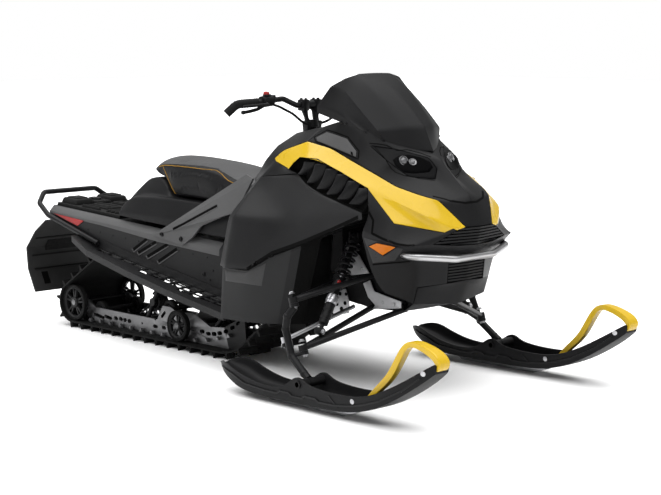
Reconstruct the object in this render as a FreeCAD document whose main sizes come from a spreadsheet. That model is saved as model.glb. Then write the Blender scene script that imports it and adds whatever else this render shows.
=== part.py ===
import FreeCAD, Part
import Sketcher
import math
import os

# Snowmobile with one rubber track and two skis, in millimetres.
# +X points forward, +Y to the vehicle's left, +Z up. The origin is on the ground,
# under the middle of the whole machine.

V = FreeCAD.Vector

# Driving sizes: name, value in millimetres (degrees or a count where it says so), meaning.
SIZES = [
    ("half_length", 1460, "Origin to the front of the ski loops and to the back of the snow flap"),
    ("half_width", 610, "Middle plane to the outer wall of a ski"),
    ("height", 1200, "Ground to the top of the windshield"),
    ("panel_wall", 6, "Wall of the moulded body panels"),
    ("windshield_wall", 5, "Wall of the windshield"),
    ("lamp_depth", 30, "Depth of a headlamp pod"),
    ("projector_radius", 21, "Projector in a headlamp"),
    ("grille_depth", 16, "Depth of a nose grille"),
    ("grille_slat", 6, "Height of a grille slat"),
    ("grille_pitch", 14, "Grille slats apart"),
    ("vent_depth", 26, "Depth of the vented strip under a hood flank"),
    ("vent_fin", 24, "Thickness of a fin in the vented strip"),
    ("backing_wall", 4, "Closed back of grilles, vents and lamps"),
    ("tunnel_width", 400, "Outer width of the tunnel"),
    ("tunnel_wall", 4, "Wall of the tunnel"),
    ("tunnel_bevel", 26, "Bevel along each upper corner of the tunnel"),
    ("board_wall", 5, "Thickness of the running board plates"),
    ("board_rail_width", 16, "Width of the rail along a running board"),
    ("board_rail_height", 28, "Height of the rail along a running board"),
    ("board_slots", 15, "Openings along a running board, a count"),
    ("board_slot_width", 26, "Width of an opening in a running board, across"),
    ("board_slot_margin", 14, "Openings apart and to the edges"),
    ("rear_tube_radius", 12, "Tube of the rear bumper"),
    ("rear_tube_bend", 34, "Centre line radius of its bends"),
    ("front_tube_radius", 13, "Tube of the front bumper"),
    ("front_tube_bend", 60, "Centre line radius of its bends"),
    ("flap_wall", 8, "Wall of the snow flap"),
    ("flap_overhang", 20, "Snow flap beyond each side of the tunnel"),
    ("deck_wall", 14, "Thickness of the rear deck"),
    ("deck_width", 330, "Width of the rear deck"),
    ("seat_gap", 0.3, "Gap between pieces that rest on each other"),
    ("anchor_hole_radius", 5, "Luggage anchor holes in the rear deck"),
    ("anchor_spacing_along", 200, "Anchor holes apart, along"),
    ("anchor_spacing_across", 240, "Anchor holes apart, across"),
    ("brace_wall", 10, "Thickness of the seat braces"),
    ("track_side_gap", 5.5, "Track edge to the inside of the tunnel"),
    ("track_belt", 7, "Thickness of the rubber belt"),
    ("lug_height", 24.6, "Height of the lugs on the belt"),
    ("lug_root", 16, "Length of a lug along the belt at its root"),
    ("lug_tip", 7, "Length of a lug along the belt at its tip"),
    ("lug_rows", 44, "Rows of lugs, a count"),
    ("lug_sink", 1.5, "Root of a lug inside the belt"),
    ("rear_wheel_radius", 84, "Rear idler wheels"),
    ("low_wheel_radius", 68, "Wheels on the flat run"),
    ("carrier_wheel_radius", 52, "Upper carrier wheels"),
    ("skid_shock_radius", 24, "Shock absorbers of the track"),
    ("small_wheel_radius", 40, "Small wheels beside the rails"),
    ("sprocket_radius", 76, "Drive sprockets"),
    ("rail_bend_radius", 260, "Front bend of the rails"),
    ("wheel_width", 26, "Width of a wheel"),
    ("wheel_rim", 14, "Radial thickness of a wheel's rim"),
    ("axle_radius", 11, "Axles of the wheels"),
    ("wheel_track_gap", 0.4, "Wheel rim to belt"),
    ("rail_wall", 12, "Thickness of a rail"),
    ("low_wheel_offset", 33, "Middle of a wheel on the flat run, out from the face of its rail"),
    ("rail_spacing", 250, "Outer face to outer face of the two rails"),
    ("engine_length_share", 0.185, "Engine block along X, as a share of the half length"),
    ("engine_width", 340, "Engine block, across"),
    ("engine_height", 280, "Engine block, upright"),
    ("bulkhead_wall", 12, "Cast walls of the front bulkhead"),
    ("bulkhead_width", 280, "Outer width of the front bulkhead"),
    ("arm_radius", 11, "Tubes of the suspension arms"),
    ("arm_eye_radius", 17, "Ball joint housings"),
    ("shock_body_radius", 20, "Body of a front shock"),
    ("shock_coil_radius", 27, "Outer radius of its coil spring"),
    ("shock_plate", 8, "Plates that hold the top of a front shock"),
    ("shock_rod_radius", 8, "Rod of a front shock"),
    ("spindle_thick", 30, "Width of the spindle's boss across the ski"),
    ("pin_gap", 0.5, "Clearance round pins and balls"),
    ("kingpin_radius", 7, "Pins of the spindle in the eyes of the arms"),
    ("tie_pin_radius", 5, "Steering pin of the spindle"),
    ("tie_eye_radius", 12, "Eye of a tie rod"),
    ("eye_height", 22, "Height of the eyes along the kingpin axis"),
    ("lug_thick", 14, "Thickness of the spindle's lugs"),
    ("spindle_radius", 14, "Leg of the spindle"),
    ("ski_boss_radius", 17, "Boss of the spindle round the ski's bolt"),
    ("riser_stand", 38, "Post base to the foot of the riser"),
    ("lamp_plate", 4, "Thickness of the tail lights"),
    ("tie_rod_radius", 8, "Tie rods"),
    ("ski_wall", 7, "Wall of a ski"),
    ("ski_floor", 12, "Floor of a ski"),
    ("runner_width", 26, "Steel runner and keel under a ski"),
    ("ski_pin_radius", 8, "Pivot bolt of a ski"),
    ("loop_radius", 12, "Bar of a ski loop"),
    ("bar_radius", 11, "Handlebar tube"),
    ("bar_bend", 45, "Centre line radius of its bends"),
    ("grip_radius", 17, "Hand grips"),
    ("lever_radius", 5, "Hand levers"),
    ("cable_radius", 5, "Control cables"),
    ("cable_bend", 90, "Centre line radius of their bends"),
    ("riser_width", 110, "Handlebar riser, across"),
    ("riser_deep", 34, "Handlebar riser, along"),
    ("post_radius", 16, "Steering post"),
]

doc = FreeCAD.newDocument("snowmobile")
sheet = doc.addObject("Spreadsheet::Sheet", "sizes")
for row, (alias, value, meaning) in enumerate(SIZES, start=1):
    sheet.set(f"A{row}", alias)
    sheet.set(f"B{row}", str(value))
    sheet.setAlias(f"B{row}", alias)
    sheet.set(f"C{row}", meaning)
doc.recompute()


def size(name):
    """One driving size."""
    return float(getattr(sheet, name))


HALF_LENGTH = size("half_length")
HALF_WIDTH = size("half_width")
HEIGHT = size("height")


def at(shares, side=-1):
    """A point given as shares of half length, half width and height, on one side."""
    x_share, y_share, z_share = shares
    return V(x_share * HALF_LENGTH, side * y_share * HALF_WIDTH, z_share * HEIGHT)


def path_of(table, side=-1):
    """The points of a table of shares, on one side."""
    return [at(shares, side) for shares in table]


def mirrored(shape):
    """The same shape on the other side of the middle plane."""
    return shape.mirror(V(0, 0, 0), V(0, 1, 0))


def polygon(points):
    """A flat face through points."""
    return Part.Face(Part.makePolygon(list(points) + [points[0]]))


def closed_solid(faces):
    """One solid bounded by faces."""
    shell = Part.makeShell(faces)
    shell.sewShape()
    solid = Part.makeSolid(shell)
    if solid.Volume < 0:
        solid.reverse()
    return solid


def loft(sections):
    """A ruled solid through polygons that have as many corners."""
    wires = [Part.makePolygon(list(points) + [points[0]]) for points in sections]
    return Part.makeLoft(wires, True, True)


def slab(points, thickness):
    """A flat plate: an outline pushed along a vector."""
    return polygon(points).extrude(thickness)


def rod(start, end, radius):
    """A round bar from point to point."""
    run = end - start
    return Part.makeCylinder(radius, run.Length, start, run)


def block(low, high):
    """A box between two corners."""
    span = high - low
    return Part.makeBox(span.x, span.y, span.z, low)


def fused(shapes):
    """One shape from touching or crossing shapes."""
    whole = shapes[0].multiFuse(shapes[1:])
    merged = whole.removeSplitter()
    return merged if merged.isValid() else whole


def largest(shape):
    """The largest solid of a shape."""
    return max(shape.Solids, key=lambda solid: solid.Volume)


def together(shapes):
    """Several solids that do not touch, in one shape."""
    return Part.makeCompound(shapes)


def bent_wire(points, bend):
    """Straight runs joined by arcs that touch them."""
    edges = []
    start = points[0]
    for before, corner, after in zip(points, points[1:], points[2:]):
        inward = (before - corner).normalize()
        outward = (after - corner).normalize()
        half_angle = inward.getAngle(outward) / 2
        room = min((before - corner).Length, (after - corner).Length) / 2
        setback = min(bend / math.tan(half_angle), room * BEND_ROOM_SHARE)
        radius = setback * math.tan(half_angle)
        arc_start = corner + inward * setback
        arc_end = corner + outward * setback
        bisector = (inward + outward).normalize()
        centre = corner + bisector * (radius / math.sin(half_angle))
        arc_middle = centre - bisector * radius
        edges.append(Part.LineSegment(start, arc_start).toShape())
        edges.append(Part.Arc(arc_start, arc_middle, arc_end).toShape())
        start = arc_end
    edges.append(Part.LineSegment(start, points[-1]).toShape())
    return Part.Wire(edges)


BEND_ROOM_SHARE = 0.96


def bent_tube(points, radius, bend):
    """A round bar along a bent path."""
    run = points[1] - points[0]
    profile = Part.Wire([Part.Circle(points[0], run, radius).toShape()])
    return bent_wire(points, bend).makePipeShell([profile], True, True)


def piece(label, shape):
    """A sub-part of the document, set by a shape."""
    feature = doc.addObject("Part::Feature", label)
    feature.Shape = shape
    feature.Label = label
    feature.Placement = FreeCAD.Placement()
    return feature


# Body skin. The panels are facets of one surface seen from its core point, and each panel's
# inner face is its outer face drawn towards that core, so neighbours meet along flat edges.

CORE_SHARES = (0.384, 0, 0.5)

SKIN_SHARES = {
    # Console and hood, middle plane to hood flank, from the rear to the nose.
    "dash_low_mid": (0.077, 0, 0.647),
    "dash_low_side": (0.081, 0.311, 0.642),
    "console_rear_mid": (0.152, 0, 0.796),
    "console_rear_top": (0.181, 0.156, 0.798),
    "console_rear_side": (0.179, 0.311, 0.762),
    "console_rear_low": (0.164, 0.403, 0.708),
    "flank_rear": (0.204, 0.398, 0.722),
    "flank_rear_top": (0.236, 0.393, 0.75),
    "console_mid": (0.322, 0, 0.837),
    "console_top": (0.329, 0.246, 0.828),
    "flank_top_1": (0.314, 0.356, 0.782),
    "hood_mid_1": (0.438, 0, 0.833),
    "hood_top_1": (0.426, 0.336, 0.852),
    "flank_top_2": (0.411, 0.377, 0.767),
    "hood_mid_2": (0.507, 0, 0.817),
    "hood_top_2": (0.496, 0.325, 0.83),
    "flank_top_3": (0.495, 0.393, 0.733),
    "hood_mid_3": (0.568, 0, 0.79),
    "hood_top_3": (0.552, 0.243, 0.796),
    "flank_top_4": (0.573, 0.385, 0.698),
    "hood_mid_4": (0.62, 0, 0.762),
    "hood_top_4": (0.593, 0.108, 0.77),
    "flank_top_5": (0.634, 0.352, 0.662),
    "hood_mid_5": (0.651, 0, 0.737),
    "hood_mid_6": (0.678, 0, 0.704),
    "flank_top_6": (0.692, 0.295, 0.64),
    "hood_lip_mid": (0.752, 0, 0.625),
    "hood_lip_side": (0.748, 0.098, 0.618),
    "flank_top_7": (0.73, 0.233, 0.625),
    # Headlamp pod.
    "lamp_rear": (0.528, 0.325, 0.782),
    "lamp_top": (0.578, 0.213, 0.77),
    "lamp_top_inner": (0.633, 0.066, 0.744),
    "lamp_inner": (0.655, 0.046, 0.71),
    "lamp_low_inner": (0.664, 0.085, 0.679),
    "lamp_low": (0.632, 0.233, 0.688),
    "lamp_outer": (0.595, 0.311, 0.731),
    # Hood flank, the yellow panel.
    "flank_low_1": (0.219, 0.42, 0.713),
    "flank_low_2": (0.288, 0.462, 0.694),
    "flank_low_3": (0.303, 0.459, 0.714),
    "flank_low_4": (0.323, 0.446, 0.734),
    "flank_low_5": (0.39, 0.454, 0.733),
    "flank_low_6": (0.486, 0.475, 0.7),
    "flank_low_7": (0.589, 0.49, 0.658),
    "flank_low_8": (0.675, 0.475, 0.559),
    "flank_low_9": (0.758, 0.246, 0.53),
    "flank_crease": (0.725, 0.361, 0.587),
    "flank_nose": (0.771, 0.205, 0.542),
    "flank_nose_top": (0.753, 0.184, 0.59),
    "nose_side": (0.782, 0.123, 0.544),
    "nose_mid": (0.788, 0, 0.543),
    # Side panel.
    "side_rear_top": (0.162, 0.472, 0.64),
    "side_top_1": (0.179, 0.459, 0.662),
    "side_top_2": (0.311, 0.436, 0.68),
    "side_top_3": (0.382, 0.492, 0.637),
    "side_top_4": (0.598, 0.561, 0.587),
    "side_low_1": (0.605, 0.574, 0.569),
    "side_low_2": (0.512, 0.626, 0.522),
    "side_low_3": (0.317, 0.692, 0.431),
    "side_low_4": (0.231, 0.708, 0.376),
    "side_low_5": (0.147, 0.711, 0.37),
    "side_rear_mid": (0.159, 0.659, 0.533),
    "side_middle": (0.342, 0.61, 0.542),
    "flange_top": (0.14, 0.43, 0.64),
    "flange_mid": (0.126, 0.63, 0.533),
    "flange_low": (0.116, 0.689, 0.372),
    # Vented strip between the hood flank and the side panel.
    "vent_front": (0.603, 0.521, 0.613),
    # Lower panel.
    "low_top_1": (0.121, 0.675, 0.367),
    "low_top_2": (0.229, 0.689, 0.367),
    "low_top_3": (0.317, 0.672, 0.421),
    "low_top_4": (0.473, 0.61, 0.493),
    "low_base_1": (0.104, 0.664, 0.195),
    "low_base_2": (0.182, 0.649, 0.192),
    "low_base_3": (0.298, 0.6, 0.198),
    "low_base_4": (0.375, 0.541, 0.208),
    "low_well_top": (0.408, 0.352, 0.492),
    "low_well_base": (0.384, 0.352, 0.208),
    # Nose and fascia.
    "cheek_rear": (0.595, 0.548, 0.533),
    "cheek_top": (0.61, 0.528, 0.583),
    "shoulder_1": (0.591, 0.544, 0.515),
    "shoulder_2": (0.682, 0.525, 0.502),
    "shoulder_3": (0.726, 0.467, 0.495),
    "shoulder_4": (0.751, 0.328, 0.497),
    "grille_top_side": (0.773, 0.18, 0.535),
    "grille_mid_low": (0.775, 0, 0.485),
    "grille_side_low": (0.77, 0.164, 0.487),
    "fascia_mid": (0.748, 0, 0.433),
    "fascia_side": (0.742, 0.164, 0.435),
    "fascia_corner": (0.712, 0.352, 0.442),
    "jaw_rear_top": (0.606, 0.528, 0.436),
    "jaw_rear_low": (0.613, 0.479, 0.369),
    "jaw_low_1": (0.632, 0.443, 0.339),
    "jaw_low_2": (0.684, 0.328, 0.306),
    "jaw_mid_side": (0.699, 0.328, 0.358),
    "chin_side": (0.737, 0.164, 0.367),
    "chin_mid": (0.744, 0, 0.372),
    "belly_front": (0.712, 0, 0.292),
    "belly_rear": (0.62, 0, 0.265),
    "belly_rear_side": (0.62, 0.246, 0.268),
}

# Each panel's facets, as corners of the skin.
PANEL_FACETS = {
    "console": [
        ("console_rear_mid", "console_rear_top", "console_top", "console_mid"),
        ("console_rear_top", "console_rear_side", "flank_rear_top", "flank_top_1", "console_top"),
        ("console_rear_side", "console_rear_low", "flank_rear", "flank_rear_top"),
        ("dash_low_mid", "dash_low_side", "console_rear_low", "console_rear_side", "console_rear_top",
         "console_rear_mid"),
        ("console_rear_low", "dash_low_side", "flange_top", "side_top_1", "flank_low_1", "flank_rear"),
        ("flank_low_2", "flank_low_1", "side_top_1", "side_top_2"),
    ],
    "hood": [
        ("console_mid", "console_top", "hood_top_1", "hood_mid_1"),
        ("console_top", "flank_top_1", "flank_top_2", "hood_top_1"),
        ("hood_mid_1", "hood_top_1", "hood_top_2", "hood_mid_2"),
        ("hood_top_1", "flank_top_2", "flank_top_3", "hood_top_2"),
        ("hood_mid_2", "hood_top_2", "hood_top_3", "hood_mid_3"),
        ("hood_top_2", "flank_top_3", "lamp_rear"),
        ("hood_top_2", "lamp_rear", "lamp_top", "hood_top_3"),
        ("hood_mid_3", "hood_top_3", "hood_top_4", "hood_mid_4"),
        ("hood_top_3", "lamp_top", "lamp_top_inner", "hood_top_4"),
        ("hood_mid_4", "hood_top_4", "lamp_top_inner", "hood_mid_5"),
        ("hood_mid_5", "lamp_top_inner", "lamp_inner", "hood_mid_6"),
        ("lamp_rear", "flank_top_3", "flank_top_4", "lamp_outer"),
        ("lamp_outer", "flank_top_4", "flank_top_5", "lamp_low"),
        ("lamp_low", "flank_top_5", "flank_top_6", "lamp_low_inner"),
        ("hood_mid_6", "lamp_inner", "lamp_low_inner", "hood_lip_side", "hood_lip_mid"),
        ("lamp_low_inner", "flank_top_6", "flank_top_7", "hood_lip_side"),
        ("hood_lip_mid", "hood_lip_side", "nose_side", "nose_mid"),
        ("hood_lip_side", "flank_top_7", "flank_nose_top", "nose_side"),
    ],
    "headlamps": [
        ("lamp_rear", "lamp_outer", "lamp_top"),
        ("lamp_outer", "lamp_low", "lamp_top"),
        ("lamp_low", "lamp_low_inner", "lamp_top_inner", "lamp_top"),
        ("lamp_low_inner", "lamp_inner", "lamp_top_inner"),
    ],
    "hood_flanks": [
        ("flank_rear", "flank_low_1", "flank_low_2", "flank_low_3", "flank_rear_top"),
        ("flank_rear_top", "flank_low_3", "flank_low_4", "flank_top_1"),
        ("flank_top_1", "flank_low_4", "flank_low_5", "flank_top_2"),
        ("flank_top_2", "flank_low_5", "flank_low_6", "flank_top_3"),
        ("flank_top_3", "flank_low_6", "flank_low_7", "flank_top_4"),
        ("flank_top_4", "flank_low_7", "flank_top_5"),
        ("flank_top_5", "flank_low_7", "flank_crease", "flank_top_6"),
        ("flank_top_6", "flank_crease", "flank_nose", "flank_nose_top", "flank_top_7"),
        ("flank_nose_top", "flank_nose", "nose_side"),
        ("nose_side", "flank_nose", "grille_top_side"),
        ("flank_low_7", "flank_low_8", "flank_low_9", "flank_crease"),
        ("flank_crease", "flank_low_9", "flank_nose"),
    ],
    "side_panel": [
        ("side_rear_top", "side_top_1", "side_top_2", "side_middle"),
        ("side_top_2", "side_top_3", "side_middle"),
        ("side_top_3", "side_top_4", "side_middle"),
        ("side_top_4", "side_low_1", "side_low_2", "side_middle"),
        ("side_low_2", "side_low_3", "side_middle"),
        ("side_low_3", "side_low_4", "side_middle"),
        ("side_low_4", "side_low_5", "side_rear_mid", "side_middle"),
        ("side_rear_mid", "side_rear_top", "side_middle"),
        ("side_rear_top", "side_rear_mid", "flange_mid", "flange_top"),
        ("side_rear_mid", "side_low_5", "flange_low", "flange_mid"),
        ("side_rear_top", "flange_top", "side_top_1"),
    ],
    "lower_panel": [
        ("side_low_5", "side_low_4", "low_top_2", "low_top_1"),
        ("side_low_4", "side_low_3", "low_top_3", "low_top_2"),
        ("side_low_3", "side_low_2", "low_top_4", "low_top_3"),
        ("low_top_1", "low_top_2", "low_base_2", "low_base_1"),
        ("low_top_2", "low_top_3", "low_base_3", "low_base_2"),
        ("low_top_3", "low_top_4", "low_base_4", "low_base_3"),
    ],
    "side_vents": [
        ("flank_low_3", "flank_low_2", "side_top_2", "flank_low_4"),
        ("flank_low_4", "side_top_2", "side_top_3", "flank_low_5"),
        ("flank_low_5", "side_top_3", "flank_low_6"),
        ("flank_low_6", "side_top_3", "side_top_4", "vent_front", "flank_low_7"),
    ],
    "nose_cover": [
        ("vent_front", "cheek_top", "flank_low_8", "flank_low_7"),
        ("cheek_top", "cheek_rear", "shoulder_2", "flank_low_8"),
        ("cheek_rear", "shoulder_1", "shoulder_2"),
        ("flank_low_8", "shoulder_2", "shoulder_3", "flank_low_9"),
        ("flank_low_9", "shoulder_3", "shoulder_4", "grille_top_side"),
        ("flank_nose", "flank_low_9", "grille_top_side"),
        ("shoulder_1", "jaw_rear_top", "fascia_corner", "shoulder_3", "shoulder_2"),
        ("shoulder_3", "fascia_corner", "shoulder_4"),
        ("shoulder_4", "fascia_corner", "fascia_side", "grille_side_low"),
        ("grille_side_low", "fascia_side", "fascia_mid", "grille_mid_low"),
        ("jaw_rear_top", "jaw_rear_low", "jaw_mid_side", "fascia_corner"),
        ("jaw_rear_low", "jaw_low_1", "jaw_low_2", "jaw_mid_side"),
    ],
    "nose_grilles": [
        ("nose_mid", "nose_side", "grille_top_side", "shoulder_4", "grille_side_low", "grille_mid_low"),
        ("fascia_mid", "fascia_side", "chin_side", "chin_mid"),
        ("fascia_side", "fascia_corner", "jaw_mid_side", "chin_side"),
    ],
    "belly_pan": [
        ("chin_mid", "chin_side", "jaw_mid_side", "jaw_low_2", "belly_front"),
        ("belly_front", "jaw_low_2", "belly_rear_side", "belly_rear"),
    ],
}


def panel_side(label, wall, side, core, sunk=0, inset=0):
    """One side of a panel: outer facets, sunk and drawn in a little, their copies towards the core, and rims."""
    facets = [[at(SKIN_SHARES[name], side) for name in facet] for facet in PANEL_FACETS[label]]
    if inset:
        names = {name for facet in PANEL_FACETS[label] for name in facet}
        middle = sum((at(SKIN_SHARES[name], side) for name in names), V()) / len(names)
        facets = [[point + (middle - point) * inset for point in facet] for facet in facets]
    corners = [point for facet in facets for point in facet]
    reach = sum((point - core).Length for point in corners) / len(corners)
    outer_shrink = sunk / reach
    inner_shrink = wall / reach
    faces = []
    rims = {}
    for facet in facets:
        for first, second in zip(facet, facet[1:] + facet[:1]):
            key = frozenset((tuple(first), tuple(second)))
            rims[key] = None if key in rims else (first, second)
        middle = facet[0]
        for second, third in zip(facet[1:], facet[2:]):
            triangle = [middle, second, third]
            for shrink in (outer_shrink, inner_shrink):
                faces.append(polygon([point + (core - point) * shrink for point in triangle]))
    for edge in rims.values():
        if edge:
            first, second = edge
            rim = [first + (core - first) * outer_shrink, second + (core - second) * outer_shrink,
                   second + (core - second) * inner_shrink, first + (core - first) * inner_shrink]
            faces.append(polygon(rim))
    return closed_solid(faces)


def skin_panel(label, wall, side, sunk=0, inset=0):
    """One side of a panel of the body skin."""
    return panel_side(label, wall, side, at(CORE_SHARES, side), sunk, inset)


PANEL_WALL = size("panel_wall")
WINDSHIELD_CORE_SHARES = (0.356, 0, 0.8)
SCREEN_SHARES = {
    "base_mid": (0.625, 0, 0.761),
    "base_side": (0.595, 0.115, 0.768),
    "base_corner": (0.552, 0.246, 0.794),
    "base_outer": (0.496, 0.326, 0.828),
    "base_rear": (0.426, 0.338, 0.849),
    "low_mid": (0.595, 0, 0.835),
    "low_side": (0.579, 0.125, 0.833),
    "low_corner": (0.541, 0.282, 0.825),
    "centre_mid": (0.527, 0, 0.914),
    "centre_side": (0.515, 0.151, 0.909),
    "centre_corner": (0.482, 0.295, 0.888),
    "high_mid": (0.463, 0, 0.972),
    "high_side": (0.455, 0.157, 0.968),
    "high_corner": (0.42, 0.289, 0.95),
    "top_mid": (0.414, 0, 1),
    "top_side": (0.412, 0.138, 0.998),
    "top_corner": (0.408, 0.246, 0.985),
    "wing_top": (0.388, 0.328, 0.959),
    "wing_rear": (0.351, 0.359, 0.897),
    "wing_low": (0.351, 0.359, 0.875),
    "facet_low": (0.428, 0.348, 0.88),
}

SCREEN_FACETS = [
    ("base_mid", "base_side", "low_side", "low_mid"),
    ("base_side", "base_corner", "low_corner", "low_side"),
    ("low_mid", "low_side", "centre_side", "centre_mid"),
    ("low_side", "low_corner", "centre_corner", "centre_side"),
    ("centre_mid", "centre_side", "high_side", "high_mid"),
    ("centre_side", "centre_corner", "high_corner", "high_side"),
    ("high_mid", "high_side", "top_side", "top_mid"),
    ("high_side", "high_corner", "top_corner", "top_side"),
    ("base_corner", "base_outer", "facet_low", "low_corner"),
    ("base_outer", "base_rear", "facet_low"),
    ("facet_low", "high_corner", "centre_corner", "low_corner"),
    ("facet_low", "wing_rear", "wing_top", "high_corner"),
    ("base_rear", "wing_low", "wing_rear", "facet_low"),
    ("high_corner", "wing_top", "top_corner"),
]
PANEL_FACETS["windshield"] = [tuple("screen_" + name for name in facet) for facet in SCREEN_FACETS]
SKIN_SHARES.update({"screen_" + name: shares for name, shares in SCREEN_SHARES.items()})


def well_wall():
    """Wall behind the front suspension, from the lower panel in towards the frame."""
    back = V(-PANEL_WALL, 0, 0)
    sections = []
    for outer_name, inner_name in (("low_top_4", "low_well_top"), ("low_base_4", "low_well_base")):
        outer = at(SKIN_SHARES[outer_name])
        inner = at(SKIN_SHARES[inner_name])
        sections.append([outer, inner, inner + back, outer + back])
    return loft(sections)


def slatted(label, depth, bands):
    """One side of a panel that is open between slats, closed at its back."""
    whole = skin_panel(label, depth, -1)
    back = skin_panel(label, depth, -1, depth - size("backing_wall"))
    return fused([back, whole.common(together(bands))])


def grille_bands():
    """Level bands that the slats of the nose grilles lie in."""
    low, high = [share * HEIGHT for share in GRILLE_REACH_SHARES]
    count = int((high - low) / size("grille_pitch")) + 1
    bands = []
    for index in range(count):
        base = low + index * size("grille_pitch")
        bands.append(block(V(0, -HALF_WIDTH, base), V(HALF_LENGTH, 0, base + size("grille_slat"))))
    return bands


def vent_bands():
    """Leaning bands that the fins of a side vent lie in."""
    bands = []
    fin = size("vent_fin")
    for foot_share in VENT_FIN_SHARES:
        foot = foot_share * HALF_LENGTH
        lean = VENT_LEAN_SHARE * HEIGHT
        outline = [V(foot, -HALF_WIDTH, HEIGHT / 2), V(foot + fin, -HALF_WIDTH, HEIGHT / 2),
                   V(foot + fin - lean, -HALF_WIDTH, HEIGHT), V(foot - lean, -HALF_WIDTH, HEIGHT)]
        bands.append(slab(outline, V(0, HALF_WIDTH, 0)))
    return bands


def lamp_projector():
    """Round projector that stands on the closed back of a headlamp."""
    centre = at(LAMP_CENTRE_SHARES)
    inward = (at(CORE_SHARES, -1) - centre).normalize()
    start = centre + inward * size("backing_wall")
    finish = centre + inward * (size("lamp_depth") - size("backing_wall") / 2)
    return rod(start, finish, size("projector_radius"))


GRILLE_REACH_SHARES = (0.36, 0.542)
VENT_FIN_SHARES = (0.438, 0.485, 0.532, 0.578, 0.625)
VENT_LEAN_SHARE = 0.275
LAMP_RIM_SHARE = 0.08
LAMP_CENTRE_SHARES = (0.59, 0.184, 0.73)


def make_skin():
    """Console, hood, flanks, side panels, nose, grilles, belly pan and windshield."""
    for label in ("console", "hood", "nose_cover", "belly_pan"):
        half = skin_panel(label, PANEL_WALL, -1)
        piece(label, fused([half, mirrored(half)]))
    grille = slatted("nose_grilles", size("grille_depth"), grille_bands())
    piece("nose_grilles", fused([grille, mirrored(grille)]))
    vent = slatted("side_vents", size("vent_depth"), vent_bands())
    piece("side_vents", together([vent, mirrored(vent)]))
    depth = size("lamp_depth")
    hollow = skin_panel("headlamps", depth - size("backing_wall"), -1, -size("backing_wall"), LAMP_RIM_SHARE)
    lamp = fused([skin_panel("headlamps", depth, -1).cut(hollow), lamp_projector()])
    piece("headlamps", together([lamp, mirrored(lamp)]))
    flank = skin_panel("hood_flanks", PANEL_WALL, -1)
    piece("hood_flanks", together([flank, mirrored(flank)]))
    for label in ("side_panel", "lower_panel"):
        half = skin_panel(label, PANEL_WALL, -1)
        if label == "lower_panel":
            half = fused([half, well_wall()])
        piece(label + "_right", half)
        piece(label + "_left", mirrored(half))
    half = panel_side("windshield", size("windshield_wall"), -1, at(WINDSHIELD_CORE_SHARES))
    screen = fused([half, mirrored(half)]).cut(doc.getObject("hood").Shape)
    piece("windshield", largest(screen))


# Tunnel, running boards and what stands on the tunnel.

TUNNEL_REAR_SHARES = (-0.884, 0.464, 0.365)
TUNNEL_FRONT_SHARES = (0.226, 0.39, 0.2)
TUNNEL_CUT_SHARES = ((-0.884, 0.429), (-0.699, 0.365), (0.226, 0.175))


def tunnel_section(shares, half_width, bevel, lower):
    """Corners of the tunnel at one end: an upside-down tub with bevelled upper corners."""
    x_share, top_share, base_share = shares
    place = x_share * HALF_LENGTH
    top = top_share * HEIGHT - lower
    base = base_share * HEIGHT
    return [V(place, -half_width, base), V(place, -half_width, top - bevel),
            V(place, bevel - half_width, top), V(place, half_width - bevel, top),
            V(place, half_width, top - bevel), V(place, half_width, base)]


def make_tunnel():
    """Sheet tunnel, open below and at both ends, its sides cut along the running boards."""
    half = size("tunnel_width") / 2
    wall = size("tunnel_wall")
    bevel = size("tunnel_bevel")
    ends = (TUNNEL_REAR_SHARES, TUNNEL_FRONT_SHARES)
    outer = loft([tunnel_section(shares, half, bevel, 0) for shares in ends])
    inner = loft([tunnel_section(shares, half - wall, bevel, wall) for shares in ends])
    shell = outer.cut(inner)
    cut_line = [V(x_share * HALF_LENGTH, -half * 2, z_share * HEIGHT) for x_share, z_share in TUNNEL_CUT_SHARES]
    floor = [V(cut_line[-1].x, -half * 2, 0), V(cut_line[0].x, -half * 2, 0)]
    below = slab(cut_line + floor, V(0, half * 4, 0))
    bores = [Part.makeCylinder(size("anchor_hole_radius"), size("deck_wall") * 5, spot) for spot in anchor_spots()]
    piece("tunnel", shell.cut(together([below] + bores)))


BOARD_SHARES = (
    # Along the board: x, half width of the outer edge, height.
    (-0.719, 0.387, 0.363),
    (-0.62, 0.43, 0.323),
    (-0.384, 0.492, 0.277),
    (-0.182, 0.533, 0.24),
    (0.082, 0.566, 0.197),
)


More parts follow.
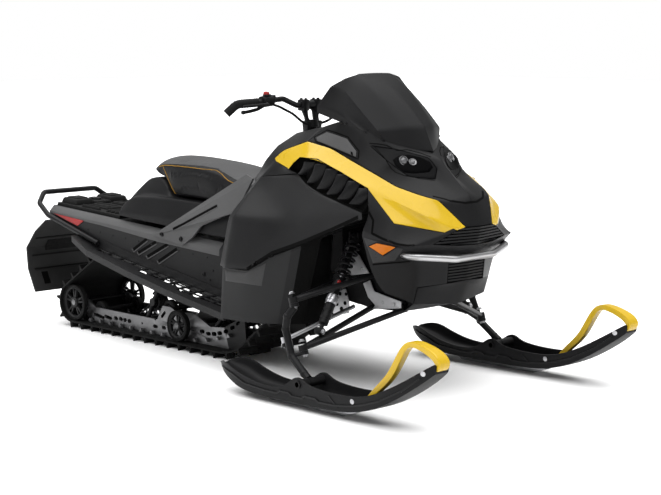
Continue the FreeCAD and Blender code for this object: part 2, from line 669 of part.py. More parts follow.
def make_running_boards():
    """Sloping plates beside the tunnel, with a rail along the outer edge."""
    inner = size("tunnel_width") / 2
    wall = size("board_wall")
    rail_width = size("board_rail_width")
    rail_height = size("board_rail_height")
    outline = path_of(BOARD_SHARES)
    plates = []
    rails = []
    for point in outline:
        edge = point.y
        plates.append([V(point.x, -inner, point.z), V(point.x, edge, point.z),
                       V(point.x, edge, point.z + wall), V(point.x, -inner, point.z + wall)])
        low = point.z + wall - rail_height
        rails.append([V(point.x, edge, low), V(point.x, edge - rail_width, low),
                      V(point.x, edge - rail_width, point.z + wall), V(point.x, edge, point.z + wall)])
    slots = []
    margin = size("board_slot_margin")
    slot_width = size("board_slot_width")
    count = int(size("board_slots"))
    for (x_share, y_share, z_share), (next_x, next_y, next_z) in zip(BOARD_SHARES, BOARD_SHARES[1:]):
        start = x_share * HALF_LENGTH
        reach = (next_x - x_share) * HALF_LENGTH
        here = max(1, round(count * reach / (outline[-1].x - outline[0].x)))
        for index in range(here):
            slot_start = start + reach * index / here + margin / 2
            slot_end = start + reach * (index + 1) / here - margin / 2
            edge = y_share * HALF_WIDTH - rail_width - margin / 2
            row = -inner - margin / 2
            while row - slot_width > -edge:
                slots.append(block(V(slot_start, row - slot_width, next_z * HEIGHT - wall * 2),
                                   V(slot_end, row, z_share * HEIGHT + wall * 2)))
                row -= slot_width + margin / 2
    right = fused([loft(plates), loft(rails)])
    if slots:
        right = largest(right.cut(together(slots)))
    piece("running_board_right", right)
    piece("running_board_left", mirrored(right))


REAR_TUBE_SHARES = (-0.62, 0.347), (-0.88, 0.427), (-0.94, 0.467), (-0.964, 0.505)
REAR_TUBE_WIDTH_SHARES = (1, 1, 0.94, 0.7)


def make_rear_bumper():
    """One tube round the tail, its ends running forward along the tunnel."""
    radius = size("rear_tube_radius")
    half = size("tunnel_width") / 2 + size("seat_gap") + radius
    right = [V(x_share * HALF_LENGTH, -half * width_share, z_share * HEIGHT)
             for (x_share, z_share), width_share in zip(REAR_TUBE_SHARES, REAR_TUBE_WIDTH_SHARES)]
    left = [V(point.x, -point.y, point.z) for point in right]
    piece("rear_bumper", bent_tube(right + left[::-1], radius, size("rear_tube_bend")))


FLAP_SHARES = ((-0.889, 0.408), (-0.949, 0.358), (-1, 0.287), (-0.993, 0.204), (-0.956, 0.118))


FLAP_ROOT_SHARE = 0.46


def side_sketch(body, name, corners):
    """Closed outline in the middle plane; each corner is its expressions for the way back and for the height."""
    sketch = body.newObject("Sketcher::SketchObject", name)
    plane = next(item for item in body.Origin.OriginFeatures if item.Role == "XZ_Plane")
    sketch.AttachmentSupport = [(plane, "")]
    sketch.MapMode = "FlatFace"
    spots = [V(-place, height, 0) for place, height, _, _ in corners]
    for start, end in zip(spots, spots[1:] + spots[:1]):
        sketch.addGeometry(Part.LineSegment(start, end), False)
    count = len(spots)
    for index in range(count):
        sketch.addConstraint(Sketcher.Constraint("Coincident", index, 2, (index + 1) % count, 1))
    for index, (place, height, place_rule, height_rule) in enumerate(corners):
        along = sketch.addConstraint(Sketcher.Constraint("DistanceX", index, 1, -1, 1, place))
        sketch.setExpression(f"Constraints[{along}]", place_rule)
        up = sketch.addConstraint(Sketcher.Constraint("DistanceY", -1, 1, index, 1, height))
        sketch.setExpression(f"Constraints[{up}]", height_rule)
    return sketch


def padded(body, sketch, name, width_rule):
    """A pad of a sketch to both sides of the middle plane."""
    pad = body.newObject("PartDesign::Pad", name)
    pad.Profile = sketch
    pad.Midplane = True
    pad.setExpression("Length", width_rule)
    return pad


def make_snow_flap():
    """Rubber flap behind the track, bent along its height, with the root that holds it to the tunnel."""
    body = doc.addObject("PartDesign::Body", "snow_flap")
    wall = size("flap_wall")
    back = []
    front = []
    for x_share, z_share in FLAP_SHARES:
        rule = f"sizes.half_length * {-x_share:.3f}"
        height = (z_share * HEIGHT, f"sizes.height * {z_share:.3f}")
        back.append((-x_share * HALF_LENGTH, height[0], rule, height[1]))
        front.append((-x_share * HALF_LENGTH - wall, height[0], rule + " - sizes.flap_wall", height[1]))
    outline = side_sketch(body, "flap_outline", back + front[::-1])
    padded(body, outline, "flap_sheet", "sizes.tunnel_width + sizes.flap_overhang * 2")
    end = -TUNNEL_REAR_SHARES[0]
    near = (end * HALF_LENGTH + size("seat_gap"), f"sizes.half_length * {end:.3f} + sizes.seat_gap")
    far = (near[0] + wall, near[1] + " + sizes.flap_wall")
    low_share = FLAP_SHARES[0][1]
    low = (low_share * HEIGHT - wall, f"sizes.height * {low_share:.3f} - sizes.flap_wall")
    high = (FLAP_ROOT_SHARE * HEIGHT, f"sizes.height * {FLAP_ROOT_SHARE:.3f}")
    corners = [(place[0], height[0], place[1], height[1])
               for place, height in ((far, low), (near, low), (near, high), (far, high))]
    root = side_sketch(body, "root_outline", corners)
    padded(body, root, "flap_root", "sizes.tunnel_width - sizes.tunnel_bevel * 2")


def tunnel_top(place):
    """Height of the tunnel's top at a place along it."""
    rear_x = TUNNEL_REAR_SHARES[0] * HALF_LENGTH
    front_x = TUNNEL_FRONT_SHARES[0] * HALF_LENGTH
    rear_top = TUNNEL_REAR_SHARES[1] * HEIGHT
    front_top = TUNNEL_FRONT_SHARES[1] * HEIGHT
    return rear_top + (front_top - rear_top) * (place - rear_x) / (front_x - rear_x)


DECK_REAR_SHARE = -0.874
DECK_FRONT_SHARE = -0.553


def anchor_spots():
    """Middles of the four anchor holes, well below the deck."""
    middle = (DECK_REAR_SHARE + DECK_FRONT_SHARE) / 2 * HALF_LENGTH
    base = tunnel_top(middle) - size("deck_wall") * 2
    half_along = size("anchor_spacing_along") / 2
    half_across = size("anchor_spacing_across") / 2
    return [V(middle + along * half_along, across * half_across, base) for along in (-1, 1) for across in (-1, 1)]


def make_rear_deck():
    """Plate on the tunnel behind the seat, with four holes where luggage is tied down."""
    rear, front = [V(share * HALF_LENGTH, 0, tunnel_top(share * HALF_LENGTH))
                   for share in (DECK_REAR_SHARE, DECK_FRONT_SHARE)]
    fall = math.degrees(math.atan2(rear.z - front.z, front.x - rear.x))
    plate = doc.addObject("Part::Box", "deck_plate")
    reach = DECK_FRONT_SHARE - DECK_REAR_SHARE
    plate.setExpression("Length", f"sizes.half_length * {reach:.3f} / cos({fall:.4f} deg)")
    plate.setExpression("Width", "sizes.deck_width")
    plate.setExpression("Height", "sizes.deck_wall")
    corner = rear - V(0, size("deck_width") / 2, 0)
    plate.Placement = FreeCAD.Placement(corner, FreeCAD.Rotation(V(0, 1, 0), fall))
    bores = []
    for index, spot in enumerate(anchor_spots()):
        bore = doc.addObject("Part::Cylinder", f"anchor_bore_{index + 1}")
        bore.setExpression("Radius", "sizes.anchor_hole_radius")
        bore.setExpression("Height", "sizes.deck_wall * 5")
        bore.Placement = FreeCAD.Placement(spot, FreeCAD.Rotation())
        bores.append(bore)
    pattern = doc.addObject("Part::MultiFuse", "anchor_bores")
    pattern.Shapes = bores
    deck = doc.addObject("Part::Cut", "rear_deck")
    deck.Base = plate
    deck.Tool = pattern


# Seat base and cushion: sections along X as half width and height.

SEAT_BASE_SHARES = (
    # x, half width below, height of the shoulder, half width on top, height of the top; widths go by the tunnel
    (-0.548, 0.9, 0.475, 0.7, 0.51),
    (-0.484, 0.95, 0.505, 0.35, 0.598),
    (-0.438, 0.97, 0.503, 0.44, 0.575),
    (-0.384, 0.98, 0.5, 0.55, 0.556),
    (-0.274, 0.98, 0.495, 0.675, 0.547),
    (-0.123, 0.98, 0.492, 0.75, 0.539),
    (-0.014, 0.97, 0.51, 0.78, 0.586),
    (0.062, 0.95, 0.533, 0.74, 0.618),
)


def make_seat_base():
    """Plastic base under the cushion, closed and standing on the tunnel."""
    tunnel_half = size("tunnel_width") / 2
    sections = []
    for x_share, low_share, shoulder_share, top_share, height_share in SEAT_BASE_SHARES:
        place = x_share * HALF_LENGTH
        low = low_share * tunnel_half
        top = top_share * tunnel_half
        base = tunnel_top(place)
        shoulder = shoulder_share * HEIGHT
        height = height_share * HEIGHT - size("seat_gap")
        sections.append([V(place, -low, base), V(place, -low, shoulder), V(place, -top, height),
                         V(place, top, height), V(place, low, shoulder), V(place, low, base)])
    piece("seat_base", loft(sections))


SEAT_SHARES = (
    # x, height of the underside, half widths below and at the edge, edge height, top half width, top height
    (-0.438, 0.575, 0.475, 0.55, 0.629, 0.4, 0.652),
    (-0.384, 0.556, 0.56, 0.64, 0.65, 0.46, 0.685),
    (-0.274, 0.547, 0.675, 0.71, 0.655, 0.475, 0.68),
    (-0.123, 0.539, 0.76, 0.75, 0.64, 0.475, 0.662),
    (-0.014, 0.586, 0.8, 0.75, 0.627, 0.46, 0.647),
    (0.062, 0.618, 0.75, 0.65, 0.627, 0.45, 0.637),
)


def make_seat_cushion():
    """Padded seat, a closed plain form with the real outline."""
    tunnel_half = size("tunnel_width") / 2
    sections = []
    for x_share, base_share, low_share, edge_share, edge_height_share, top_share, height_share in SEAT_SHARES:
        place = x_share * HALF_LENGTH
        base = base_share * HEIGHT
        edge_height = edge_height_share * HEIGHT
        height = height_share * HEIGHT
        low = low_share * tunnel_half
        edge = edge_share * tunnel_half
        top = top_share * tunnel_half
        sections.append([V(place, -low, base), V(place, -edge, edge_height), V(place, -top, height),
                         V(place, top, height), V(place, edge, edge_height), V(place, low, base)])
    piece("seat_cushion", loft(sections))
BRACE_SHARES = (
    # Outline seen from the side, each corner with its own distance out from the tunnel's side.
    (-0.355, 0.001, 0.405), (-0.216, 0.001, 0.385), (-0.172, 0.002, 0.417), (-0.127, 0.011, 0.463),
    (-0.015, 0.036, 0.51), (0.041, 0.049, 0.527), (0.118, 0.061, 0.648), (0.077, 0.03, 0.658), (-0.032, 0.033, 0.557),
)


def make_seat_braces():
    """Flat struts from the tunnel's sides up to the console, outside the seat base."""
    wall = size("brace_wall")
    tunnel_side = V(0, -size("tunnel_width") / 2 - wall, 0)
    outline = [point + tunnel_side for point in path_of(BRACE_SHARES)]
    inner = [point + V(0, wall, 0) for point in outline]
    faces = []
    for skin in (outline, inner):
        for second, third in zip(range(1, len(skin)), range(2, len(skin))):
            faces.append(polygon([skin[0], skin[second], skin[third]]))
    for first, second in zip(range(len(outline)), list(range(1, len(outline))) + [0]):
        faces.append(polygon([outline[first], outline[second], inner[second], inner[first]]))
    right = closed_solid(faces)
    right = largest(right.cut(doc.getObject("console").Shape))
    piece("seat_braces", together([right, mirrored(right)]))


# Track and skid.

REAR_WHEEL_SHARE = -0.788
RAIL_BEND_SHARE = -0.082
DRIVE_SHARES = (0.147, 0.271)
CARRIER_SHARES = (-0.548, 0.313)


def belt_circles():
    """Centres and radii that the inside of the belt runs round, counter-clockwise from the rear."""
    ground = size("track_belt") + size("lug_height")
    rear = size("rear_wheel_radius")
    bend = size("rail_bend_radius")
    drive_x, drive_z = DRIVE_SHARES
    carrier_x, carrier_z = CARRIER_SHARES
    return [
        (V(REAR_WHEEL_SHARE * HALF_LENGTH, 0, ground + rear), rear),
        (V(RAIL_BEND_SHARE * HALF_LENGTH, 0, ground + bend), bend),
        (V(drive_x * HALF_LENGTH, 0, drive_z * HEIGHT), size("sprocket_radius")),
        (V(carrier_x * HALF_LENGTH, 0, carrier_z * HEIGHT), size("carrier_wheel_radius")),
    ]


def track_width():
    """Width of the track, which runs inside the tunnel."""
    return size("tunnel_width") - (size("tunnel_wall") + size("track_side_gap")) * 2


def belt_wire(grow):
    """Closed loop of tangent lines and arcs round the belt's circles, grown outwards."""
    right_edge = V(0, -track_width() / 2, 0)
    circles = [(centre + right_edge, radius + grow) for centre, radius in belt_circles()]
    normals = []
    for (centre, radius), (next_centre, next_radius) in zip(circles, circles[1:] + circles[:1]):
        run = next_centre - centre
        heading = math.atan2(run.z, run.x)
        turn = math.acos((radius - next_radius) / run.Length)
        normals.append(heading - turn)
    edges = []
    count = len(circles)
    for index, (centre, radius) in enumerate(circles):
        before = normals[index - 1]
        after = normals[index]
        while after < before:
            after += math.tau
        spots = [centre + V(math.cos(angle), 0, math.sin(angle)) * radius
                 for angle in (before, (before + after) / 2, after)]
        edges.append(Part.Arc(*spots).toShape())
        next_centre, next_radius = circles[(index + 1) % count]
        landing = next_centre + V(math.cos(normals[index]), 0, math.sin(normals[index])) * next_radius
        edges.append(Part.LineSegment(spots[-1], landing).toShape())
    return Part.Wire(edges)


# Lugs of two kinds of rows in turn, from and to as shares of half the track's width.
LUG_ROW_SHARES = (((-1, -0.44), (0.44, 1)), ((-1, -0.8), (-0.3, 0.3), (0.8, 1)))


LUG_STEPS = 8


def make_track():
    """The track as one loop: a rubber belt and the rows of lugs on it."""
    width = track_width()
    half = width / 2
    belt = size("track_belt")
    sink = size("lug_sink")
    tall = size("lug_height")
    root = size("lug_root") / 2
    tip = size("lug_tip") / 2
    outer_wire = belt_wire(belt)
    loop = Part.Face(outer_wire).cut(Part.Face(belt_wire(0))).extrude(V(0, width, 0))
    rows = int(size("lug_rows"))
    spots = outer_wire.discretize(Number=rows * LUG_STEPS + 1)[:-1]
    lugs = []
    for row in range(rows):
        spot = spots[row * LUG_STEPS]
        along = (spots[row * LUG_STEPS + 1] - spots[row * LUG_STEPS - 1]).normalize()
        out = V(along.z, 0, -along.x)
        for start_share, end_share in LUG_ROW_SHARES[row % len(LUG_ROW_SHARES)]:
            base = spot + V(0, half * (1 + start_share), 0)
            outline = [base - along * root - out * sink, base + along * root - out * sink,
                       base + along * tip + out * tall, base - along * tip + out * tall]
            lugs.append(slab(outline, V(0, half * (end_share - start_share), 0)))
    piece("track", fused([loop] + lugs))


def wheel(centre, radius, side_place):
    """A wheel with a hub, a thin disc and a rim, its axis along Y."""
    width = size("wheel_width")
    rim = size("wheel_rim")
    start = V(centre.x, side_place - width / 2, centre.z)
    outer = Part.makeCylinder(radius, width, start, V(0, 1, 0))
    dish = Part.makeCylinder(radius - rim, width / 3, start, V(0, 1, 0))
    back = Part.makeCylinder(radius - rim, width / 3, start + V(0, width * 2 / 3, 0), V(0, 1, 0))
    hole = Part.makeCylinder(size("axle_radius"), width, start, V(0, 1, 0))
    hub = Part.makeCylinder(size("axle_radius") + rim, width, start, V(0, 1, 0))
    return outer.cut(dish).cut(back).fuse(hub).cut(hole).removeSplitter()


LOW_WHEEL_SHARE = -0.282
SMALL_WHEEL_SHARES = ((-0.365, 0.127), (-0.709, 0.072))
SPROCKET_PLACE_SHARE = 0.5


def rim_gap(radius):
    """A wheel a little smaller than the belt's own curve."""
    return radius - size("wheel_track_gap")


def wheel_sets():
    """Centre, radius and distance from the middle plane of each pair of wheels."""
    circles = belt_circles()
    ground = size("track_belt") + size("lug_height")
    outside = track_width() / 2 - size("wheel_width")
    low_radius = size("low_wheel_radius")
    low_centre = V(LOW_WHEEL_SHARE * HALF_LENGTH, 0, ground + low_radius)
    return [
        (circles[0][0], rim_gap(circles[0][1]), outside),
        (circles[3][0], rim_gap(circles[3][1]), outside),
        (low_centre, rim_gap(low_radius), size("rail_spacing") / 2 + size("low_wheel_offset")),
    ] + [(V(x_share * HALF_LENGTH, 0, z_share * HEIGHT), size("small_wheel_radius"),
          size("rail_spacing") / 2 - size("rail_wall") - size("wheel_width") / 2 - size("seat_gap"))
         for x_share, z_share in SMALL_WHEEL_SHARES]


def make_skid_wheels():
    """Rear idlers, carrier wheels and wheels on the flat run in pairs, and the drive sprockets."""
    wheels = [wheel(centre, radius, side * place) for centre, radius, place in wheel_sets() for side in (-1, 1)]
    centre, radius = belt_circles()[2]
    half = size("tunnel_width") / 2 - size("tunnel_wall")
    width = size("wheel_width")
    drive = [rod(centre - V(0, half, 0), centre + V(0, half, 0), size("axle_radius"))]
    for side in (-1, 1):
        start = centre + V(0, side * half * SPROCKET_PLACE_SHARE - width / 2, 0)
        drive.append(Part.makeCylinder(rim_gap(radius), width, start, V(0, 1, 0)))
    piece("skid_wheels", together(wheels + [fused(drive)]))


RAIL_REAR_SHARES = ((-0.8, 0.087), (-0.751, 0.028))
RAIL_TOP_SHARES = (
    (-0.8, 0.108), (-0.762, 0.108), (-0.719, 0.082), (-0.411, 0.082), (-0.384, 0.137),
    (-0.346, 0.137), (-0.322, 0.125), (-0.226, 0.125), (-0.164, 0.093), (-0.103, 0.1),
    (-0.014, 0.155),
)


HANGER_TOP_SHARE = 0.367


def make_skid_frame():
    """Two rails with their cross shafts, wheel axles and swing arms."""
    circles = belt_circles()
    wall = size("rail_wall")
    half = size("rail_spacing") / 2
    ground = size("track_belt") + size("lug_height")
    bend_centre, bend_radius = circles[1]
    inner_bend = bend_radius - size("wheel_track_gap")
    top = [V(x_share * HALF_LENGTH, -half, z_share * HEIGHT) for x_share, z_share in RAIL_TOP_SHARES]
    tip = top[-1]
    start = V(bend_centre.x, -half, bend_centre.z - inner_bend)
    tip_turn = math.asin((tip.x - bend_centre.x + wall) / inner_bend)
    finish = V(bend_centre.x + inner_bend * math.sin(tip_turn), -half,
               bend_centre.z - inner_bend * math.cos(tip_turn))
    middle = V(bend_centre.x + inner_bend * math.sin(tip_turn / 2), -half,
               bend_centre.z - inner_bend * math.cos(tip_turn / 2))
    rear = [V(x_share * HALF_LENGTH, -half, z_share * HEIGHT) for x_share, z_share in RAIL_REAR_SHARES]
    edges = [Part.makePolygon([finish] + top[::-1] + rear + [start]), Part.Arc(start, middle, finish).toShape()]
    outline = Part.Wire(edges[0].Edges + [edges[1]])
    right = Part.Face(outline).extrude(V(0, wall, 0))
    parts = [right, mirrored(right)]
    axle = size("axle_radius")
    for centre, radius, place in wheel_sets():
        reach = place + size("wheel_width") / 2
        parts.append(rod(centre - V(0, reach, 0), centre + V(0, reach, 0), axle))
    tunnel_inner = size("tunnel_width") / 2 - size("tunnel_wall")
    carrier = circles[3][0]
    parts.append(rod(carrier - V(0, tunnel_inner, 0), carrier + V(0, tunnel_inner, 0), axle))
    hanger_low = carrier + V(-axle * 2, tunnel_inner - size("tunnel_wall"), -axle * 2)
    hanger = block(hanger_low, V(carrier.x + axle * 2, tunnel_inner, HANGER_TOP_SHARE * HEIGHT))
    parts += [hanger, mirrored(hanger)]
    arm_half = half - wall * 2
    for low_shares, high_shares in SWING_ARM_SHARES:
        low = V(low_shares[0] * HALF_LENGTH, 0, low_shares[1] * HEIGHT)
        high = V(high_shares[0] * HALF_LENGTH, 0, high_shares[1] * HEIGHT)
        parts.append(rod(low - V(0, half, 0), low + V(0, half, 0), axle))
        parts.append(rod(high - V(0, tunnel_inner, 0), high + V(0, tunnel_inner, 0), axle))
        for side in (-1, 1):
            offset = V(0, side * arm_half, 0)
            parts.append(rod(low + offset, high + offset, axle))
    for low_shares, high_shares in SKID_SHOCK_SHARES:
        low = V(low_shares[0] * HALF_LENGTH, 0, low_shares[1] * HEIGHT)
        high = V(high_shares[0] * HALF_LENGTH, 0, high_shares[1] * HEIGHT)
        run = high - low
        parts += [rod(low, high, axle), rod(low + run * SKID_BODY_SHARE, high - run * SKID_BODY_SHARE,
                                            size("skid_shock_radius"))]
    piece("skid_frame", fused(parts))


# Shock absorbers of the track, in the middle plane: foot and head of each.
SKID_SHOCK_SHARES = (
    ((-0.164, 0.08), (-0.356, 0.327)),
    ((-0.479, 0.07), (-0.548, 0.313)),
)
SKID_BODY_SHARE = 0.16
SWING_ARM_SHARES = (
    # Foot on the rails and pivot on the tunnel's sides: x and height of each.
    ((-0.164, 0.08), (-0.014, 0.275)),
    ((-0.479, 0.07), (-0.356, 0.327)),
)
# Engine, bulkhead and front suspension.

ENGINE_SHARES = (0.226, 0, 0.367)
BULKHEAD_SIDE_SHARES = ((0.438, 0, 0.5), (0.532, 0, 0.503), (0.536, 0, 0.377), (0.62, 0, 0.293), (0.62, 0, 0.265),
                        (0.493, 0, 0.26), (0.411, 0, 0.275), (0.411, 0, 0.467))
BULKHEAD_CROSS_SHARES = (0.419, 0.582)
# Outlines of the silver castings on each side wall.
CASTING_SHARES = (
    ((0.416, 0, 0.454), (0.432, 0, 0.457), (0.462, 0, 0.427), (0.499, 0, 0.373), (0.434, 0, 0.36), (0.414, 0, 0.382)),
    ((0.481, 0, 0.34), (0.503, 0, 0.35), (0.518, 0, 0.318), (0.562, 0, 0.31), (0.618, 0, 0.288), (0.618, 0, 0.268), (0.511, 0, 0.262),
     (0.521, 0, 0.28), (0.496, 0, 0.297)),
)


def make_engine():
    """Engine as one plain block between the side panels."""
    engine = doc.addObject("Part::Box", "engine")
    engine.Label = "engine"
    engine.setExpression("Length", "sizes.half_length * sizes.engine_length_share - sizes.seat_gap * 2")
    engine.setExpression("Width", "sizes.engine_width")
    engine.setExpression("Height", "sizes.engine_height")
    corner = at(ENGINE_SHARES)
    engine.Placement = FreeCAD.Placement(V(corner.x + size("seat_gap"), -size("engine_width") / 2, corner.z),
                                         FreeCAD.Rotation())
    engine.setExpression("Placement.Base.y", "-sizes.engine_width / 2")


def make_bulkhead():
    """Cast front frame: two side walls and cross walls that carry arms, shocks and steering."""
    half = size("bulkhead_width") / 2
    wall = size("bulkhead_wall")
    outline = [V(point.x, -half, point.z) for point in path_of(BULKHEAD_SIDE_SHARES)]
    right = slab(outline, V(0, wall, 0))
    rear_share, front_share = BULKHEAD_CROSS_SHARES
    base = outline[-2].z
    rear_x = rear_share * HALF_LENGTH
    front_x = front_share * HALF_LENGTH
    rear = block(V(rear_x, wall - half, base + wall), V(rear_x + wall, half - wall, outline[0].z - wall * 2))
    front = block(V(front_x, wall - half, base), V(front_x + wall, half - wall, base + wall * 3))
    top = at(SHOCK_TOP_SHARES)
    eye = size("arm_eye_radius")
    plate = size("shock_plate")
    plates = []
    for start in (top.x - eye - plate, top.x + eye):
        low = V(start, top.y - eye, top.z - eye)
        high = V(start + plate, -half, top.z + eye)
        plates += [block(low, high), mirrored(block(low, high))]
    castings = []
    for table in CASTING_SHARES:
        outline = [V(point.x, -half - wall, point.z) for point in path_of(table)]
        cast = slab(outline, V(0, wall, 0))
        castings += [cast, mirrored(cast)]
    piece("bulkhead", fused([right, mirrored(right), rear, front] + plates + castings))
    belly = doc.getObject("belly_pan")
    belly.Shape = belly.Shape.cut(doc.getObject("bulkhead").Shape)


LOWER_BALL_SHARES = (0.499, 0.82, 0.172)
UPPER_BALL_SHARES = (0.463, 0.82, 0.315)
TIE_OUTER_SHARES = (0.438, 0.839, 0.188)
TIE_INNER_SHARES = (0.473, 0.321, 0.268)
LOWER_ARM_SHARES = {"front": (0.614, 0.23, 0.272), "rear": (0.503, 0.23, 0.265)}
UPPER_ARM_SHARES = {"front": (0.536, 0.23, 0.38), "rear": (0.415, 0.23, 0.35)}
SHOCK_TOP_SHARES = (0.46, 0.269, 0.487)
SHOCK_FOOT_SHARES = (0.499, 0.68, 0.215)
STANCE_SHARE = 0.883
SKI_PIVOT_SHARES = (0.555, 0.883, 0.082)


def kingpin_axis():
    """Unit vector from the lower to the upper ball joint of the right spindle."""
    return (at(UPPER_BALL_SHARES) - at(LOWER_BALL_SHARES)).normalize()


def ring_eye(centre, axis, radius, bore, height):
    """A bored cylinder round an axis, half its height to each side of its centre."""
    start = centre - axis * (height / 2)
    outer = Part.makeCylinder(radius, height, start, axis)
    return outer.cut(Part.makeCylinder(bore, height, start, axis))


# Runs of a front shock along its axis: shares of its length from the top eye, and the size that
# gives the radius.
SHOCK_RUNS_SHARES = ((0.08, 0.45, "shock_coil_radius"), (0.44, 0.93, "shock_body_radius"))


def make_shocks():
    """Front shock absorbers: coil spring, body and rod turned about one axis, with an eye at each end."""
    top = at(SHOCK_TOP_SHARES)
    foot = at(SHOCK_FOOT_SHARES)
    run = foot - top
    eye = size("arm_eye_radius")
    parts = [rod(top, foot, size("shock_rod_radius"))]
    for start_share, end_share, radius_name in SHOCK_RUNS_SHARES:
        parts.append(rod(top + run * start_share, top + run * end_share, size(radius_name)))
    parts += [rod(end - V(eye, 0, 0), end + V(eye, 0, 0), eye) for end in (top, foot)]
    carriers = together([doc.getObject(label).Shape for label in ("front_arms", "bulkhead")])
    right = largest(fused(parts).cut(carriers))
    piece("front_shocks", together([right, mirrored(right)]))


JOINT_SWELL_SHARE = 1.12
SPINDLE_LEG_SHARES = ((0.455, 0.852, 0.265), (0.452, 0.859, 0.225), (0.479, 0.869, 0.147), (0.529, 0.879, 0.102))


def make_spindles():
    """Spindles: king pins, leg, steering arm and the boss that holds the ski's bolt."""
    axis = kingpin_axis()
    upper = at(UPPER_BALL_SHARES)
    lower = at(LOWER_BALL_SHARES)
    pin = size("kingpin_radius")
    gap = size("pin_gap")
    eye_height = size("eye_height")
    lug = size("lug_thick")
    leg_radius = size("spindle_radius")
    half_eye = eye_height / 2
    pivot = at(SKI_PIVOT_SHARES)
    leg = path_of(SPINDLE_LEG_SHARES)
    upper_lug = upper - axis * (half_eye + gap + lug / 2)
    lower_lug = lower - axis * (half_eye + gap + lug / 2)
    tie = at(TIE_OUTER_SHARES)
    tie_lug = tie - axis * (half_eye + gap + lug / 2)
    half_lug = axis * (lug / 2)
    parts = [
        rod(upper_lug, upper + axis * (half_eye + gap), pin),
        rod(lower_lug, lower + axis * (half_eye + gap), pin),
        rod(tie_lug, tie + axis * (half_eye + gap), size("tie_pin_radius")),
        rod(upper_lug - half_lug, upper_lug + half_lug, size("arm_eye_radius")),
        rod(lower_lug - half_lug, lower_lug + half_lug, size("arm_eye_radius")),
        rod(tie_lug - half_lug, tie_lug + half_lug, size("tie_eye_radius")),
        rod(upper_lug - half_lug, leg[0], leg_radius),
        rod(lower_lug, leg[2], lug / 2),
        rod(tie_lug, leg[2], lug / 2),
        ring_eye(pivot, V(0, 1, 0), size("ski_boss_radius"), size("ski_pin_radius") + gap, size("spindle_thick")),
    ]
    for start, end in zip(leg, leg[1:] + [pivot + (leg[-1] - pivot).normalize() * size("ski_boss_radius")]):
        parts.append(rod(start, end, leg_radius))
        parts.append(Part.makeSphere(leg_radius * JOINT_SWELL_SHARE, start))
    bolt_room = Part.makeCylinder(size("ski_pin_radius") + gap, size("spindle_thick") * 2,
                                  pivot - V(0, size("spindle_thick"), 0), V(0, 1, 0))
    right = fused(parts).cut(bolt_room)
    piece("spindle_right", right)
    piece("spindle_left", mirrored(right))


def make_arms():
    """Upper and lower A-arms of both sides, each two tubes from the bulkhead to an eye."""
    radius = size("arm_radius")
    axis = kingpin_axis()
    height = size("eye_height")
    carriers = together([doc.getObject(label).Shape for label in ("bulkhead", "belly_pan")])
    arms = []
    for ball_shares, roots in ((LOWER_BALL_SHARES, LOWER_ARM_SHARES), (UPPER_BALL_SHARES, UPPER_ARM_SHARES)):
        ball = at(ball_shares)
        parts = [rod(ball - axis * (height / 2), ball + axis * (height / 2), size("arm_eye_radius"))]
        for root_shares in roots.values():
            parts.append(rod(at(root_shares), ball, radius))
        bore = rod(ball - axis * height * 2, ball + axis * height * 2, size("kingpin_radius") + size("pin_gap"))
        arms.append(largest(fused(parts).cut(bore).cut(carriers)))
    piece("front_arms", together(arms + [mirrored(arm) for arm in arms]))


def make_tie_rods():
    """Tie rods: an eye on the spindle's steering pin and a rod that reaches in to the bulkhead."""
    axis = kingpin_axis()
    outer = at(TIE_OUTER_SHARES)
    inner = at(TIE_INNER_SHARES)
    eye = size("tie_eye_radius")
    bore = size("tie_pin_radius") + size("pin_gap")
    along = (inner - outer).normalize()
    bar = rod(outer + along * (bore + eye) / 2, inner, size("tie_rod_radius"))
    right = fused([ring_eye(outer, axis, eye, bore, size("eye_height")), bar])
    piece("tie_rod_right", right)
    piece("tie_rod_left", mirrored(right))


SKI_SHARES = (
    # x, height of the floor's underside, height of the wall's top, half widths below and above as
    # shares of the ski's own
    (0.233, 0.077, 0.093, 0.34, 0.44),
    (0.255, 0.063, 0.102, 0.62, 0.72),
    (0.281, 0.052, 0.102, 0.80, 0.92),
    (0.308, 0.037, 0.09, 0.86, 1),
    (0.344, 0.023, 0.075, 0.90, 1),
    (0.411, 0.02, 0.057, 0.90, 1),
    (0.5, 0.02, 0.057, 0.90, 1),
    (0.54, 0.02, 0.105, 0.90, 1),
    (0.57, 0.02, 0.105, 0.90, 1),
    (0.59, 0.021, 0.085, 0.90, 1),
    (0.658, 0.022, 0.078, 0.90, 1),
    (0.726, 0.028, 0.078, 0.90, 1),
    (0.774, 0.04, 0.085, 0.89, 1),
    (0.829, 0.063, 0.107, 0.86, 0.98),
    (0.897, 0.108, 0.148, 0.82, 0.93),
    (0.959, 0.157, 0.193, 0.72, 0.82),
    (0.99, 0.187, 0.217, 0.52, 0.62),
)
KEEL_SHARES = ((0.384, 0.022), (0.408, 0), (0.675, 0), (0.727, 0.032), (0.727, 0.037),
               (0.384, 0.027))


